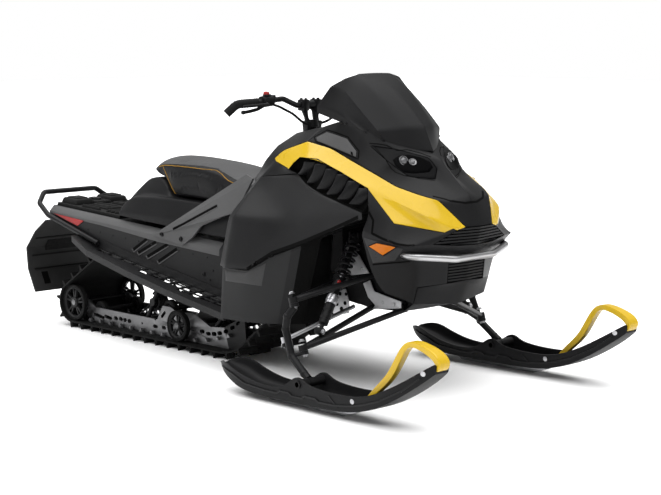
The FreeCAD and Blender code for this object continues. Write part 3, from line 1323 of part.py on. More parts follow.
def make_skis():
    """Skis: an open tub that curls up at both ends, its keel, and the pivot bolt with spacers."""
    stance = STANCE_SHARE * HALF_WIDTH
    half = HALF_WIDTH - stance
    wall = size("ski_wall")
    floor = size("ski_floor")
    sections = []
    for x_share, base_share, top_share, low_share, wide_share in SKI_SHARES:
        place = x_share * HALF_LENGTH
        base = base_share * HEIGHT
        top = top_share * HEIGHT
        low = low_share * half
        wide = wide_share * half
        sections.append([V(place, -stance + y, z) for y, z in (
            (-low, base), (low, base), (wide, top), (wide - wall, top),
            (low - wall, base + floor), (wall - low, base + floor), (wall - wide, top), (-wide, top))])
    keel_half = size("runner_width") / 2
    keel_line = [V(x_share * HALF_LENGTH, -stance - keel_half, z_share * HEIGHT) for x_share, z_share in KEEL_SHARES]
    keel = slab(keel_line, V(0, keel_half * 2, 0))
    pivot = at(SKI_PIVOT_SHARES)
    reach = V(0, half - wall / 2, 0)
    bolt = rod(pivot - reach, pivot + reach, size("ski_pin_radius"))
    spacer_start = V(0, size("spindle_thick") / 2 + size("pin_gap"), 0)
    spacer_end = V(0, half - wall, 0)
    spacers = [rod(pivot + spacer_start * sign, pivot + spacer_end * sign, size("ski_boss_radius"))
               for sign in (-1, 1)]
    right = fused([loft(sections), keel, bolt] + spacers)
    piece("ski_right", right)
    piece("ski_left", mirrored(right))


LOOP_SHARES = (
    # x, height, half width of the band
    (0.738, 0.038, 0.20),
    (0.756, 0.07, 0.20),
    (0.788, 0.11, 0.20),
    (0.827, 0.152, 0.20),
    (0.849, 0.198, 0.20),
    (0.871, 0.242, 0.20),
    (0.89, 0.259, 0.20),
    (0.914, 0.263, 0.22),
    (0.949, 0.253, 0.26),
    (0.982, 0.238, 0.32),
    (0.996, 0.22, 0.36),
    (0.995, 0.205, 0.38),
    (0.981, 0.192, 0.38),
)


def make_ski_loops():
    """Carrying loops: a band from the ski's floor up and over to its tip."""
    stance = STANCE_SHARE * HALF_WIDTH
    half = HALF_WIDTH - stance
    thick = size("loop_radius")
    spots = [(V(x_share * HALF_LENGTH, 0, z_share * HEIGHT), wide_share * half)
             for x_share, z_share, wide_share in LOOP_SHARES]
    sections = []
    for index, (spot, wide) in enumerate(spots):
        before = spots[max(index - 1, 0)][0]
        after = spots[min(index + 1, len(spots) - 1)][0]
        heading = (after - before).normalize()
        rise = V(-heading.z, 0, heading.x) * (thick / 2)
        sections.append([spot - rise + V(0, -stance - wide, 0), spot - rise + V(0, wide - stance, 0),
                         spot + rise + V(0, wide - stance, 0), spot + rise + V(0, -stance - wide, 0)])
    band = loft(sections)
    ski = doc.getObject("ski_right").Shape
    right = largest(band.cut(ski))
    piece("ski_loop_right", right)
    piece("ski_loop_left", mirrored(right))


# Steering.

POST_BASE_SHARES = (0.182, 0, 0.788)
POST_TOP_SHARES = (0.166, 0, 0.888)
BAR_SHARES = ((0.166, 0.118, 0.887), (0.179, 0.27, 0.912), (0.178, 0.479, 0.903), (0.147, 0.597, 0.898), (0.131, 0.652, 0.867))
POST_REACH_SHARE = 1.9


def post_axis():
    """Unit vector up the steering post."""
    return (at(POST_TOP_SHARES) - at(POST_BASE_SHARES)).normalize()


def make_steering():
    """Steering post and riser, handlebar, grips, controls and cables."""
    axis = post_axis()
    base = at(POST_BASE_SHARES)
    top = at(POST_TOP_SHARES)
    foot = top - (top - base) * POST_REACH_SHARE
    across = V(0, 1, 0)
    along = axis.cross(across)
    half = size("riser_width") / 2
    deep = size("riser_deep") / 2
    stand = base + axis * size("riser_stand")
    legs = []
    for sign in (-1, 1):
        low = stand + across * (sign * size("post_radius"))
        high = top + across * (sign * (half - deep / 2))
        legs.append(rod(low, high, deep / 2))
    clamp = rod(top - across * half, top + across * half, deep)
    collar = rod(stand - axis * (deep / 2), stand + axis * deep, size("post_radius") + deep / 2)
    post = rod(foot, stand, size("post_radius"))
    bar = bent_tube(path_of(BAR_SHARES)[::-1] + path_of(BAR_SHARES, 1), size("bar_radius"), size("bar_bend"))
    console = doc.getObject("console")
    console.Shape = console.Shape.cut(rod(foot, top, size("post_radius") + size("pin_gap")))
    piece("steering_post", fused(legs + [clamp, collar, post]).cut(bar))
    piece("handlebar", bar)
    grips = []
    blocks = []
    cables = []
    for side in (-1, 1):
        grips.append(largest(bent_tube(path_of(BAR_SHARES[2:], side), size("grip_radius"), size("bar_bend")).cut(bar)))
        block_start = at(CONTROL_SHARES[0], side)
        block_end = at(CONTROL_SHARES[1], side)
        lever = path_of(LEVER_SHARES, side)
        controls = [rod(block_start, block_end, size("grip_radius") + size("bar_radius") / 2),
                    rod(lever[0], lever[1], size("lever_radius")), rod(lever[1], lever[2], size("lever_radius")),
                    Part.makeSphere(size("lever_radius"), lever[1])]
        blocks.append(largest(fused(controls).cut(bar)))
        cables.append(bent_tube(path_of(CABLE_SHARES, side), size("cable_radius"), size("cable_bend")))
    piece("grips", together(grips))
    piece("bar_controls", together(blocks))
    held = together(blocks + [bar, doc.getObject("steering_post").Shape])
    piece("control_cables", together([largest(cable.cut(held)) for cable in cables]))


CONTROL_SHARES = ((0.178, 0.452, 0.904), (0.179, 0.37, 0.908))
LEVER_SHARES = ((0.184, 0.43, 0.902), (0.208, 0.462, 0.898), (0.179, 0.61, 0.892))
CABLE_SHARES = ((0.182, 0.4, 0.9), (0.189, 0.321, 0.887), (0.192, 0.21, 0.862), (0.188, 0.118, 0.833), (0.181, 0.039, 0.822))


def make_lights():
    """Tail lights on the tunnel's sides and the side reflectors on the fascia."""
    half = size("tunnel_width") / 2
    outline = [V(x_share * HALF_LENGTH, -half, z_share * HEIGHT) for x_share, z_share in TAIL_SHARES]
    right = slab(outline, V(0, -size("lamp_plate"), 0))
    piece("tail_lights", together([right, mirrored(right)]))


REFLECTOR_SHARES = ((0.61, 0.52, 0.482), (0.621, 0.5, 0.497), (0.665, 0.436, 0.479), (0.634, 0.475, 0.459))


def make_reflectors():
    """Side reflectors that stand out of the nose cover."""
    outline = path_of(REFLECTOR_SHARES)
    outward = (outline[1] - outline[0]).cross(outline[2] - outline[0]).normalize() * size("lamp_plate")
    if outward.y > 0:
        outward = outward * -1
    faces = []
    low = [point - outward for point in outline]
    high = [point + outward for point in outline]
    for points in (low, high):
        faces += [polygon([points[0], points[1], points[2]]), polygon([points[0], points[2], points[3]])]
    for index in range(len(outline)):
        faces.append(polygon([low[index - 1], low[index], high[index], high[index - 1]]))
    outside = closed_solid(faces).cut(doc.getObject("nose_cover").Shape).Solids
    right = min(outside, key=lambda solid: solid.CenterOfMass.y)
    piece("side_reflectors", together([right, mirrored(right)]))


TAIL_SHARES = ((-0.856, 0.435), (-0.701, 0.422), (-0.733, 0.4), (-0.795, 0.417))

FRONT_TUBE_SHARES = ((0.661, 0.393, 0.463), (0.721, 0.452, 0.462), (0.768, 0.172, 0.447))


def make_front_bumper():
    """Silver tube bumper across the nose."""
    right = path_of(FRONT_TUBE_SHARES)
    left = path_of(FRONT_TUBE_SHARES, 1)
    tube = bent_tube(right + left[::-1], size("front_tube_radius"), size("front_tube_bend"))
    piece("front_bumper", largest(tube.cut(doc.getObject("nose_cover").Shape)))


def main():
    make_skin()
    make_tunnel()
    make_running_boards()
    make_rear_bumper()
    make_snow_flap()
    make_rear_deck()
    make_seat_base()
    make_seat_cushion()
    make_seat_braces()
    make_track()
    make_skid_wheels()
    make_skid_frame()
    make_engine()
    make_bulkhead()
    make_arms()
    make_shocks()
    make_spindles()
    make_tie_rods()
    make_skis()
    make_ski_loops()
    make_steering()
    make_lights()
    make_reflectors()
    make_front_bumper()
    doc.recompute()
    write_parts()


def write_parts():
    """Check every object, then write each sub-part as a STEP file."""
    for thing in doc.Objects:
        if "Invalid" in thing.State or "Error" in thing.State:
            raise RuntimeError(f"{thing.Label} did not build")
    os.makedirs("parts", exist_ok=True)
    for thing in doc.Objects:
        if not hasattr(thing, "Shape") or thing.InList:
            continue
        if thing.Shape.isNull() or not thing.Shape.isValid():
            raise RuntimeError(f"{thing.Label} has no valid shape")
        thing.Shape.exportStep(f"parts/{thing.Label}.step")


main()
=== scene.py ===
import math

import bmesh
import bpy
from mathutils import Matrix, Vector
from mathutils.bvhtree import BVHTree

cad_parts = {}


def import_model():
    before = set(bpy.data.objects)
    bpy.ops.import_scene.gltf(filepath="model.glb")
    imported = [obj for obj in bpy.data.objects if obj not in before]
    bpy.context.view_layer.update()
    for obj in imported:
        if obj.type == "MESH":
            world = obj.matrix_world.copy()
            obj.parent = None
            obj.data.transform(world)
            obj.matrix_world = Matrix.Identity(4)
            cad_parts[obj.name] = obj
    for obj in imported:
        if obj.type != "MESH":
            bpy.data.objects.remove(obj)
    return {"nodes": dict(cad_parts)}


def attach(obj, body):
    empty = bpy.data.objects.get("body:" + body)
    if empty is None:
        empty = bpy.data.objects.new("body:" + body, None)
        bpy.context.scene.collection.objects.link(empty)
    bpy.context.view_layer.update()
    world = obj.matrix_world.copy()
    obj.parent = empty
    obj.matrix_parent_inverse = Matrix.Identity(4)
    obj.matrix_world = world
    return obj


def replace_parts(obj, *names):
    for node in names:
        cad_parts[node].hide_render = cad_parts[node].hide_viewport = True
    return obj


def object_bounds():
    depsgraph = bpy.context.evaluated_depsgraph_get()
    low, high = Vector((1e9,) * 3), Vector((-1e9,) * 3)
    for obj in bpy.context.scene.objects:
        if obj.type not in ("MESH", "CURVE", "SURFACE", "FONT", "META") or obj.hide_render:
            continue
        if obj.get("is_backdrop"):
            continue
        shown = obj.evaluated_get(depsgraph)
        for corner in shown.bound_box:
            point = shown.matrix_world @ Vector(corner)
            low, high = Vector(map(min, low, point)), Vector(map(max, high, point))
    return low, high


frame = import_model()
NODES = frame["nodes"]
CAD_LOW, CAD_HIGH = (corner.copy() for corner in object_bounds())
SCENE = bpy.context.scene
MM = 0.001
SIDES = {-1: "right", 1: "left"}
EAST, WEST, UPWARD = Vector((1, 0, 0)), Vector((-1, 0, 0)), Vector((0, 0, 1))
ACROSS = Vector((0, 1, 0))

# Camera at the photograph's viewing angle: its place and its right, up and back directions.

CAMERA_PLACE = (5.093, -4.639, 1.377)
CAMERA_AXES = ((0.7001, 0.7140, 0), (-0.0940, 0.0921, 0.9913), (0.7078, -0.6940, 0.1316))
FOCAL_LENGTH = 90.75


def place_object(name, data):
    made = bpy.data.objects.new(name, data)
    SCENE.collection.objects.link(made)
    return made


def make_camera():
    data = bpy.data.cameras.new("camera")
    data.sensor_width = 36
    data.lens = FOCAL_LENGTH
    data.clip_start = 0.1
    data.clip_end = 60
    camera = place_object("camera", data)
    turn = Matrix(CAMERA_AXES).transposed().to_4x4()
    camera.matrix_world = Matrix.Translation(CAMERA_PLACE) @ turn
    SCENE.camera = camera


make_camera()

# Materials.

SHADE = 0.0001
SPECULAR = "Specular IOR Level"
COAT = "Coat Weight"
PLASTICS = {
    # dark and light tone in ten-thousandths, lowest and highest roughness, scale and strength of the grain
    "charcoal": ((75, 75, 80), (105, 105, 110), 0.34, 0.44),
    "lower": ((90, 92, 96), (130, 132, 136), 0.36, 0.46),
    "black": ((40, 40, 45), (70, 70, 75), 0.42, 0.58),
    "yellow": ((4900, 3180, 120), (5600, 3680, 170), 0.24, 0.32, 900, 0.04),
    "sheet": ((70, 70, 75), (110, 110, 115), 0.38, 0.5, 1400, 0.3),
    # strip: lighter tone of the tunnel band and the seat braces, also used as painted highlight on the tunnel ribs,
    # the brace slots and the shoulder covers
    "strip": ((620, 620, 630), (760, 760, 770), 0.42, 0.52, 1400, 0.3),
    "tube": ((50, 50, 55), (90, 90, 95), 0.3, 0.42, 1200, 0.2),
    "wheel": ((90, 90, 95), (150, 150, 155), 0.34, 0.46),
    "screen": ((55, 55, 60), (75, 75, 80), 0.46, 0.56, 300, 0.02),
    "lens": ((10, 10, 12), (20, 20, 22), 0.12, 0.18, 200, 0),
    "hood": ((55, 55, 58), (85, 85, 90), 0.36, 0.46),
    # dark pod around the headlamps, its tone darkened further as painted shade under the brow
    "lamp_surround_and_shade": ((30, 30, 33), (50, 50, 54), 0.4, 0.5),
    "glass": ((600, 600, 650), (900, 900, 950), 0.08, 0.14, 200, 0),
    # edge: lighter tone of painted lit facets, on the rear flange of the side panels and on the lit facet plates
    "edge": ((280, 280, 285), (370, 370, 375), 0.36, 0.46),
    # gap: near-black tone of painted shade in seams, slots, holes, openings, the suspension well and the sheet behind
    # the panels
    "gap": ((10, 10, 10), (20, 20, 20), 0.8, 0.9),
    "rubber": ((40, 40, 40), (80, 80, 80), 0.6, 0.8, 500, 0.4),
    "cover": ((35, 35, 40), (60, 60, 65), 0.46, 0.58, 700, 0.5),
    "cover_top": ((560, 560, 570), (760, 760, 770), 0.62, 0.74, 900, 0.7),
    "flap": ((210, 210, 210), (290, 290, 290), 0.5, 0.62, 500, 0.4),
    "thread": ((3000, 1500, 100), (3800, 2000, 160), 0.5, 0.65),
    "engine": ((30, 30, 35), (50, 50, 55), 0.5, 0.7),
    "red": ((2000, 60, 70), (2800, 100, 100), 0.12, 0.2, 200, 0),
    "orange": ((4500, 1200, 100), (5500, 1600, 200), 0.15, 0.22, 200, 0),
}
METALS = {
    # dark and light tone, lowest and highest roughness, stretch of the brush marks
    "silver": ((3400, 3400, 3450), (4500, 4500, 4550), 0.28, 0.42),
    "cast": ((4200, 4200, 4300), (5800, 5800, 5900), 0.44, 0.6),
    "rail": ((1300, 1300, 1330), (2200, 2200, 2250), 0.38, 0.52, (1, 1, 8)),
    "steel": ((3500, 3500, 3600), (5000, 5000, 5200), 0.25, 0.4),
}
OTHER_SOCKETS = {
    "yellow": {COAT: 0.35, "Coat Roughness": 0.08},
    "lens": {SPECULAR: 0.01},
    "hood": {SPECULAR: 0.09},
    "lamp_surround_and_shade": {SPECULAR: 0.05},
    "glass": {SPECULAR: 0.6},
    "gap": {SPECULAR: 0.05},
    "red": {COAT: 0.15},
}
PLASTIC_SPECULAR = 0.12


def fill_ramp(ramp, stops):
    """Sets the stops of a colour ramp, each a place and a colour."""
    while len(ramp.elements) < len(stops):
        ramp.elements.new(0.5)
    for element, (spot, colour) in zip(ramp.elements, stops):
        element.position = spot
        element.color = (*colour, 1)


class Material:
    """A procedural material with its node tree and a Principled shader."""

    def __init__(self, name, colour, roughness, metallic=0.0):
        self.data = bpy.data.materials.new(name)
        self.data.use_nodes = True
        self.tree = self.data.node_tree
        self.shader = self.tree.nodes["Principled BSDF"]
        self.set("Base Color", (*colour, 1))
        self.set("Roughness", roughness)
        self.set("Metallic", metallic)
        self.place = self.node("ShaderNodeTexCoord").outputs["Object"]

    def node(self, kind, **values):
        made = self.tree.nodes.new(kind)
        for key, value in values.items():
            made.inputs[key.replace("_", " ")].default_value = value
        return made

    def set(self, socket, value):
        self.shader.inputs[socket].default_value = value

    def link(self, source, target):
        self.tree.links.new(source, target)

    def noise(self, scale, detail, stretch=(1, 1, 1)):
        """Noise over the object's own coordinates, stretched along its axes."""
        mapping = self.node("ShaderNodeMapping", Scale=stretch)
        self.link(self.place, mapping.inputs["Vector"])
        made = self.node("ShaderNodeTexNoise", Scale=scale, Detail=detail)
        self.link(mapping.outputs["Vector"], made.inputs["Vector"])
        return made.outputs["Fac"]

    def vary(self, dark, light, scale=3.0):
        """Base colour that drifts between two tones."""
        made = self.node("ShaderNodeValToRGB")
        fill_ramp(made.color_ramp, [(0.35, dark), (0.65, light)])
        self.link(self.noise(scale, 5.0), made.inputs["Fac"])
        self.link(made.outputs["Color"], self.shader.inputs["Base Color"])

    def rough(self, low, high, scale=12.0, stretch=(1, 1, 1)):
        """Roughness that drifts between two values."""
        made = self.node("ShaderNodeMapRange", To_Min=low, To_Max=high)
        self.link(self.noise(scale, 6.0, stretch), made.inputs["Value"])
        self.link(made.outputs["Result"], self.shader.inputs["Roughness"])

    def grain(self, scale, strength, distance=0.001):
        """Fine moulded grain."""
        made = self.node("ShaderNodeBump", Strength=strength, Distance=distance)
        self.link(self.noise(scale, 3.0), made.inputs["Height"])
        self.link(made.outputs["Normal"], self.shader.inputs["Normal"])


def plastic(made, dark, light, low, high, grain=600, strength=0.25):
    made.vary(dark, light)
    made.rough(low, high)
    made.grain(grain, strength)
    made.set(SPECULAR, PLASTIC_SPECULAR)


def metal(made, dark, light, low, high, stretch=(1, 1, 1), scale=60):
    made.vary(dark, light, 8.0)
    made.rough(low, high, scale, stretch)
    made.grain(scale * 8, 0.12, 0.0005)


def make_materials():
    made = {}
    for table, finish, metallic in ((PLASTICS, plastic, 0.0), (METALS, metal, 1.0)):
        for name, (dark, light, low, high, *rest) in table.items():
            dark, light = ([value * SHADE for value in tone] for tone in (dark, light))
            made[name] = Material(name, light, high, metallic)
            finish(made[name], dark, light, low, high, *rest)
            for socket, value in OTHER_SOCKETS.get(name, {}).items():
                made[name].set(socket, value)
    return made


MATERIALS = make_materials()

# Corners of the body skin in millimetres: along, out from the middle plane, and up.

SKIN = {
    # Console and hood, middle plane to hood flank, from the rear to the nose.
    "dash_low_mid": (112, 0, 776), "dash_low_side": (118, 190, 770), "console_rear_mid": (222, 0, 955),
    "console_rear_top": (264, 95, 958), "console_rear_side": (262, 190, 915), "console_rear_low": (240, 246, 850),
    "flank_rear": (298, 243, 866), "flank_rear_top": (344, 240, 900), "console_mid": (470, 0, 1004),
    "console_top": (480, 150, 994), "flank_top_1": (458, 217, 939), "hood_mid_1": (640, 0, 1000),
    "hood_top_1": (622, 205, 1022), "flank_top_2": (600, 230, 920), "hood_mid_2": (740, 0, 980),
    "hood_top_2": (724, 198, 996), "flank_top_3": (722, 240, 879), "hood_mid_3": (830, 0, 948),
    "hood_top_3": (806, 148, 955), "flank_top_4": (837, 235, 837), "hood_mid_4": (905, 0, 914),
    "hood_top_4": (866, 66, 924), "flank_top_5": (925, 215, 795), "hood_mid_5": (950, 0, 884),
    "hood_mid_6": (990, 0, 845), "flank_top_6": (1011, 180, 768), "hood_lip_mid": (1098, 0, 750),
    "hood_lip_side": (1092, 60, 742), "flank_top_7": (1066, 142, 750),
    # Headlamp pod.
    "lamp_rear": (771, 198, 938), "lamp_top": (844, 130, 924), "lamp_top_inner": (924, 40, 893),
    "lamp_inner": (957, 28, 852), "lamp_low_inner": (970, 52, 815), "lamp_low": (922, 142, 826),
    "lamp_outer": (868, 190, 877),
    # Hood flank, the yellow panel.
    "flank_low_1": (320, 256, 856), "flank_low_2": (420, 282, 833), "flank_low_3": (443, 280, 857),
    "flank_low_4": (472, 272, 881), "flank_low_5": (570, 277, 880), "flank_low_6": (709, 290, 840),
    "flank_low_7": (860, 299, 790), "flank_low_8": (985, 290, 671), "flank_low_9": (1106, 150, 636),
    "flank_crease": (1058, 220, 704), "flank_nose": (1125, 125, 650), "flank_nose_top": (1100, 112, 708),
    "nose_side": (1141, 75, 653), "nose_mid": (1150, 0, 652),
    # Side panel.
    "side_rear_top": (236, 288, 768), "side_top_1": (262, 280, 795), "side_top_2": (454, 266, 816),
    "side_top_3": (558, 300, 765), "side_top_4": (873, 342, 704), "side_low_1": (883, 350, 683),
    "side_low_2": (748, 382, 627), "side_low_3": (463, 422, 517), "side_low_4": (337, 432, 451),
    "side_low_5": (215, 434, 444), "side_rear_mid": (232, 402, 640), "side_middle": (500, 372, 650),
    "flange_top": (204, 262, 768), "flange_mid": (184, 384, 640), "flange_low": (170, 420, 446),
    # Front end of the vented strip.
    "vent_front": (880, 318, 736),
    # Lower panel.
    "low_top_1": (176, 412, 440), "low_top_2": (335, 420, 440), "low_top_3": (463, 410, 505),
    "low_top_4": (690, 372, 592), "low_base_1": (152, 405, 234), "low_base_2": (266, 396, 230),
    "low_base_3": (435, 366, 238), "low_base_4": (548, 330, 250), "low_well_top": (596, 215, 590),
    "low_well_base": (560, 215, 250),
    # Nose and fascia.
    "cheek_rear": (868, 334, 640), "cheek_top": (890, 322, 700), "shoulder_1": (863, 332, 618),
    "shoulder_2": (995, 320, 603), "shoulder_3": (1060, 285, 594), "shoulder_4": (1096, 200, 596),
    "grille_top_side": (1128, 110, 642), "grille_mid_low": (1132, 0, 582), "grille_side_low": (1124, 100, 585),
    "fascia_mid": (1092, 0, 520), "fascia_side": (1084, 100, 522), "fascia_corner": (1040, 215, 530),
    "jaw_rear_top": (885, 322, 523), "jaw_rear_low": (895, 292, 443), "jaw_low_1": (923, 270, 407),
    "jaw_low_2": (999, 200, 367), "jaw_mid_side": (1020, 200, 430), "chin_side": (1076, 100, 440),
    "chin_mid": (1086, 0, 446), "belly_front": (1040, 0, 350), "belly_rear": (905, 0, 318),
    "belly_rear_side": (905, 150, 322),
}

# Facets of each panel, by the names of their corners.

PANELS = {
    "console": (
        "console_rear_mid console_rear_top console_top console_mid",
        "console_rear_top console_rear_side flank_rear_top flank_top_1 console_top",
        "console_rear_side console_rear_low flank_rear flank_rear_top",
        "dash_low_mid dash_low_side console_rear_low console_rear_side console_rear_top console_rear_mid",
        "console_rear_low dash_low_side flange_top side_top_1 flank_low_1 flank_rear",
        "flank_low_2 flank_low_1 side_top_1 side_top_2",
    ),
    "hood": (
        "console_mid console_top hood_top_1 hood_mid_1", "console_top flank_top_1 flank_top_2 hood_top_1",
        "hood_mid_1 hood_top_1 hood_top_2 hood_mid_2", "hood_top_1 flank_top_2 flank_top_3 hood_top_2",
        "hood_mid_2 hood_top_2 hood_top_3 hood_mid_3", "hood_top_2 flank_top_3 lamp_rear",
        "hood_top_2 lamp_rear lamp_top hood_top_3", "hood_mid_3 hood_top_3 hood_top_4 hood_mid_4",
        "hood_top_3 lamp_top lamp_top_inner hood_top_4", "hood_mid_4 hood_top_4 lamp_top_inner hood_mid_5",
        "hood_mid_5 lamp_top_inner lamp_inner hood_mid_6", "lamp_rear flank_top_3 flank_top_4 lamp_outer",
        "lamp_outer flank_top_4 flank_top_5 lamp_low", "lamp_low flank_top_5 flank_top_6 lamp_low_inner",
        "hood_mid_6 lamp_inner lamp_low_inner hood_lip_side hood_lip_mid",
        "lamp_low_inner flank_top_6 flank_top_7 hood_lip_side", "hood_lip_mid hood_lip_side nose_side nose_mid",
        "hood_lip_side flank_top_7 flank_nose_top nose_side",
    ),
    "headlamps": (
        "lamp_rear lamp_outer lamp_top", "lamp_outer lamp_low lamp_top",
        "lamp_low lamp_low_inner lamp_top_inner lamp_top", "lamp_low_inner lamp_inner lamp_top_inner",
    ),
    "hood_flanks": (
        "flank_rear flank_low_1 flank_low_2 flank_low_3 flank_rear_top",
        "flank_rear_top flank_low_3 flank_low_4 flank_top_1", "flank_top_1 flank_low_4 flank_low_5 flank_top_2",
        "flank_top_2 flank_low_5 flank_low_6 flank_top_3", "flank_top_3 flank_low_6 flank_low_7 flank_top_4",
        "flank_top_4 flank_low_7 flank_top_5", "flank_top_5 flank_low_7 flank_crease flank_top_6",
        "flank_top_6 flank_crease flank_nose flank_nose_top flank_top_7", "flank_nose_top flank_nose nose_side",
        "nose_side flank_nose grille_top_side", "flank_low_7 flank_low_8 flank_low_9 flank_crease",
        "flank_crease flank_low_9 flank_nose",
    ),
    "side_panel": (
        "side_rear_top side_top_1 side_top_2 side_middle", "side_top_2 side_top_3 side_middle",
        "side_top_3 side_top_4 side_middle", "side_top_4 side_low_1 side_low_2 side_middle",
        "side_low_2 side_low_3 side_middle", "side_low_3 side_low_4 side_middle",
        "side_low_4 side_low_5 side_rear_mid side_middle", "side_rear_mid side_rear_top side_middle",
        "side_rear_top side_rear_mid flange_mid flange_top", "side_rear_mid side_low_5 flange_low flange_mid",
        "side_rear_top flange_top side_top_1",
    ),
    "lower_panel": (
        "side_low_5 side_low_4 low_top_2 low_top_1", "side_low_4 side_low_3 low_top_3 low_top_2",
        "side_low_3 side_low_2 low_top_4 low_top_3", "low_top_1 low_top_2 low_base_2 low_base_1",
        "low_top_2 low_top_3 low_base_3 low_base_2", "low_top_3 low_top_4 low_base_4 low_base_3",
        "low_top_4 low_well_top low_well_base low_base_4",
    ),
    "side_vents": (
        "flank_low_3 flank_low_2 side_top_2 flank_low_4", "flank_low_4 side_top_2 side_top_3 flank_low_5",
        "flank_low_5 side_top_3 flank_low_6", "flank_low_6 side_top_3 side_top_4 vent_front flank_low_7",
    ),
    "nose_cover": (
        "vent_front cheek_top flank_low_8 flank_low_7", "cheek_top cheek_rear shoulder_2 flank_low_8",
        "cheek_rear shoulder_1 shoulder_2", "flank_low_8 shoulder_2 shoulder_3 flank_low_9",
        "flank_low_9 shoulder_3 shoulder_4 grille_top_side", "flank_nose flank_low_9 grille_top_side",
        "shoulder_1 jaw_rear_top fascia_corner shoulder_3 shoulder_2", "shoulder_3 fascia_corner shoulder_4",
        "shoulder_4 fascia_corner fascia_side grille_side_low",
        "grille_side_low fascia_side fascia_mid grille_mid_low",
        "jaw_rear_top jaw_rear_low jaw_mid_side fascia_corner", "jaw_rear_low jaw_low_1 jaw_low_2 jaw_mid_side",
        "fascia_side fascia_corner jaw_mid_side chin_side",
    ),
    "nose_grilles": (
        "nose_mid nose_side grille_top_side shoulder_4 grille_side_low grille_mid_low",
        "fascia_mid fascia_side chin_side chin_mid",
    ),
    "belly_pan": (
        "chin_mid chin_side jaw_mid_side jaw_low_2 belly_front", "belly_front jaw_low_2 belly_rear_side belly_rear",
    ),
}

SCREEN = {
    "base_mid": (912, 0, 913), "base_side": (868, 70, 922), "base_corner": (806, 150, 953),
    "base_outer": (724, 199, 993), "base_rear": (622, 206, 1019), "low_mid": (868, 0, 1002),
    "low_side": (846, 76, 1000), "low_corner": (790, 172, 990), "centre_mid": (770, 0, 1097),
    "centre_side": (752, 92, 1091), "centre_corner": (704, 180, 1066), "high_mid": (676, 0, 1166),
    "high_side": (664, 96, 1161), "high_corner": (613, 176, 1140), "top_mid": (604, 0, 1200),
    "top_side": (602, 84, 1197), "top_corner": (596, 150, 1182), "wing_top": (566, 200, 1151),
    "wing_rear": (512, 219, 1077), "wing_low": (512, 219, 1050), "facet_low": (625, 212, 1056),
}
SCREEN_FACETS = (
    "base_mid base_side low_side low_mid", "base_side base_corner low_corner low_side",
    "low_mid low_side centre_side centre_mid", "low_side low_corner centre_corner centre_side",
    "centre_mid centre_side high_side high_mid", "centre_side centre_corner high_corner high_side",
    "high_mid high_side top_side top_mid", "high_side high_corner top_corner top_side",
    "base_corner base_outer facet_low low_corner", "base_outer base_rear facet_low",
    "facet_low high_corner centre_corner low_corner", "facet_low wing_rear wing_top high_corner",
    "base_rear wing_low wing_rear facet_low", "high_corner wing_top top_corner",
)

# Building pieces.


def add(name, mesh, material, body="chassis"):
    """Puts a mesh, or several as one, in the scene as a piece that rides on a body."""
    if isinstance(mesh, list):
        mesh = joined(mesh)
    made = place_object(name, mesh)
    dress(made, material)
    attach(made, body)
    return made


def dress(obj, name):
    """One material all over an object."""
    obj.data.materials.clear()
    obj.data.materials.append(MATERIALS[name].data)


def smooth(mesh, angle=35):
    """Smooth shading with sharp edges where faces meet at more than an angle."""
    mesh.shade_smooth()
    mesh.set_sharp_from_angle(angle=math.radians(angle))
    return mesh


def settled(obj):
    """The object's mesh with its modifiers applied."""
    graph = bpy.context.evaluated_depsgraph_get()
    graph.update()
    return bpy.data.meshes.new_from_object(obj.evaluated_get(graph), preserve_all_data_layers=True, depsgraph=graph)


def modify(obj, kind, values):
    """Gives an object a modifier with some values."""
    modifier = obj.modifiers.new(kind.lower(), kind)
    for key, value in values.items():
        setattr(modifier, key, value)


def with_modifiers(name, mesh, *settings):
    """A mesh after some modifiers, each a kind and its values."""
    holder = place_object(name, mesh)
    for kind, values in settings:
        modify(holder, kind, values)
    made = settled(holder)
    bpy.data.objects.remove(holder)
    return made


def bevel(width, degrees=30, segments=2):
    return "BEVEL", {"width": width, "segments": segments, "limit_method": "ANGLE",
                     "angle_limit": math.radians(degrees)}


def wall(thickness, offset=-1.0):
    return "SOLIDIFY", {"thickness": thickness, "offset": offset}


def subdivided(levels, **others):
    return "SUBSURF", {"levels": levels, "render_levels": levels, **others}


def editing(*meshes):
    """Opens some meshes together as a shape that can be edited."""
    shape = bmesh.new()
    for mesh in meshes:
        shape.from_mesh(mesh)
    return shape


def to_mesh(shape, made):
    """Ends the editing of a shape, as the mesh given or as a new one of that name."""
    if isinstance(made, str):
        made = bpy.data.meshes.new(made)
    shape.to_mesh(made)
    shape.free()
    return made


def only_faces(shape, chosen):
    """Keeps the faces of some material slots, which they leave for the first."""
    others = [face for face in shape.faces if face.material_index not in chosen]
    bmesh.ops.delete(shape, geom=others, context="FACES")
    for face in shape.faces:
        face.material_index = 0


def plain_mesh(corners, faces, name="form"):
    """Points and faces as a mesh whose faces all look outward."""
    mesh = bpy.data.meshes.new(name)
    mesh.from_pydata([tuple(corner) for corner in corners], [], faces)
    shape = editing(mesh)
    bmesh.ops.recalc_face_normals(shape, faces=shape.faces)
    return to_mesh(shape, mesh)


def mesh_of(corners, faces, angle=35):
    return smooth(plain_mesh(corners, faces), angle)


def joined(meshes):
    """Several meshes as one."""
    made = to_mesh(editing(*meshes), "joined")
    made.set_sharp_from_angle(angle=math.radians(35))
    return made


def band_faces(rows, count, closed=True, looped=False):
    """Quads between rows of points; rows may close into rings, and the last row may meet the first."""
    faces = []
    for row in range(rows if looped else rows - 1):
        here, below = row * count, (row + 1) % rows * count
        for one in range(count if closed else count - 1):
            after = (one + 1) % count
            faces.append([here + one, here + after, below + after, below + one])
    return faces


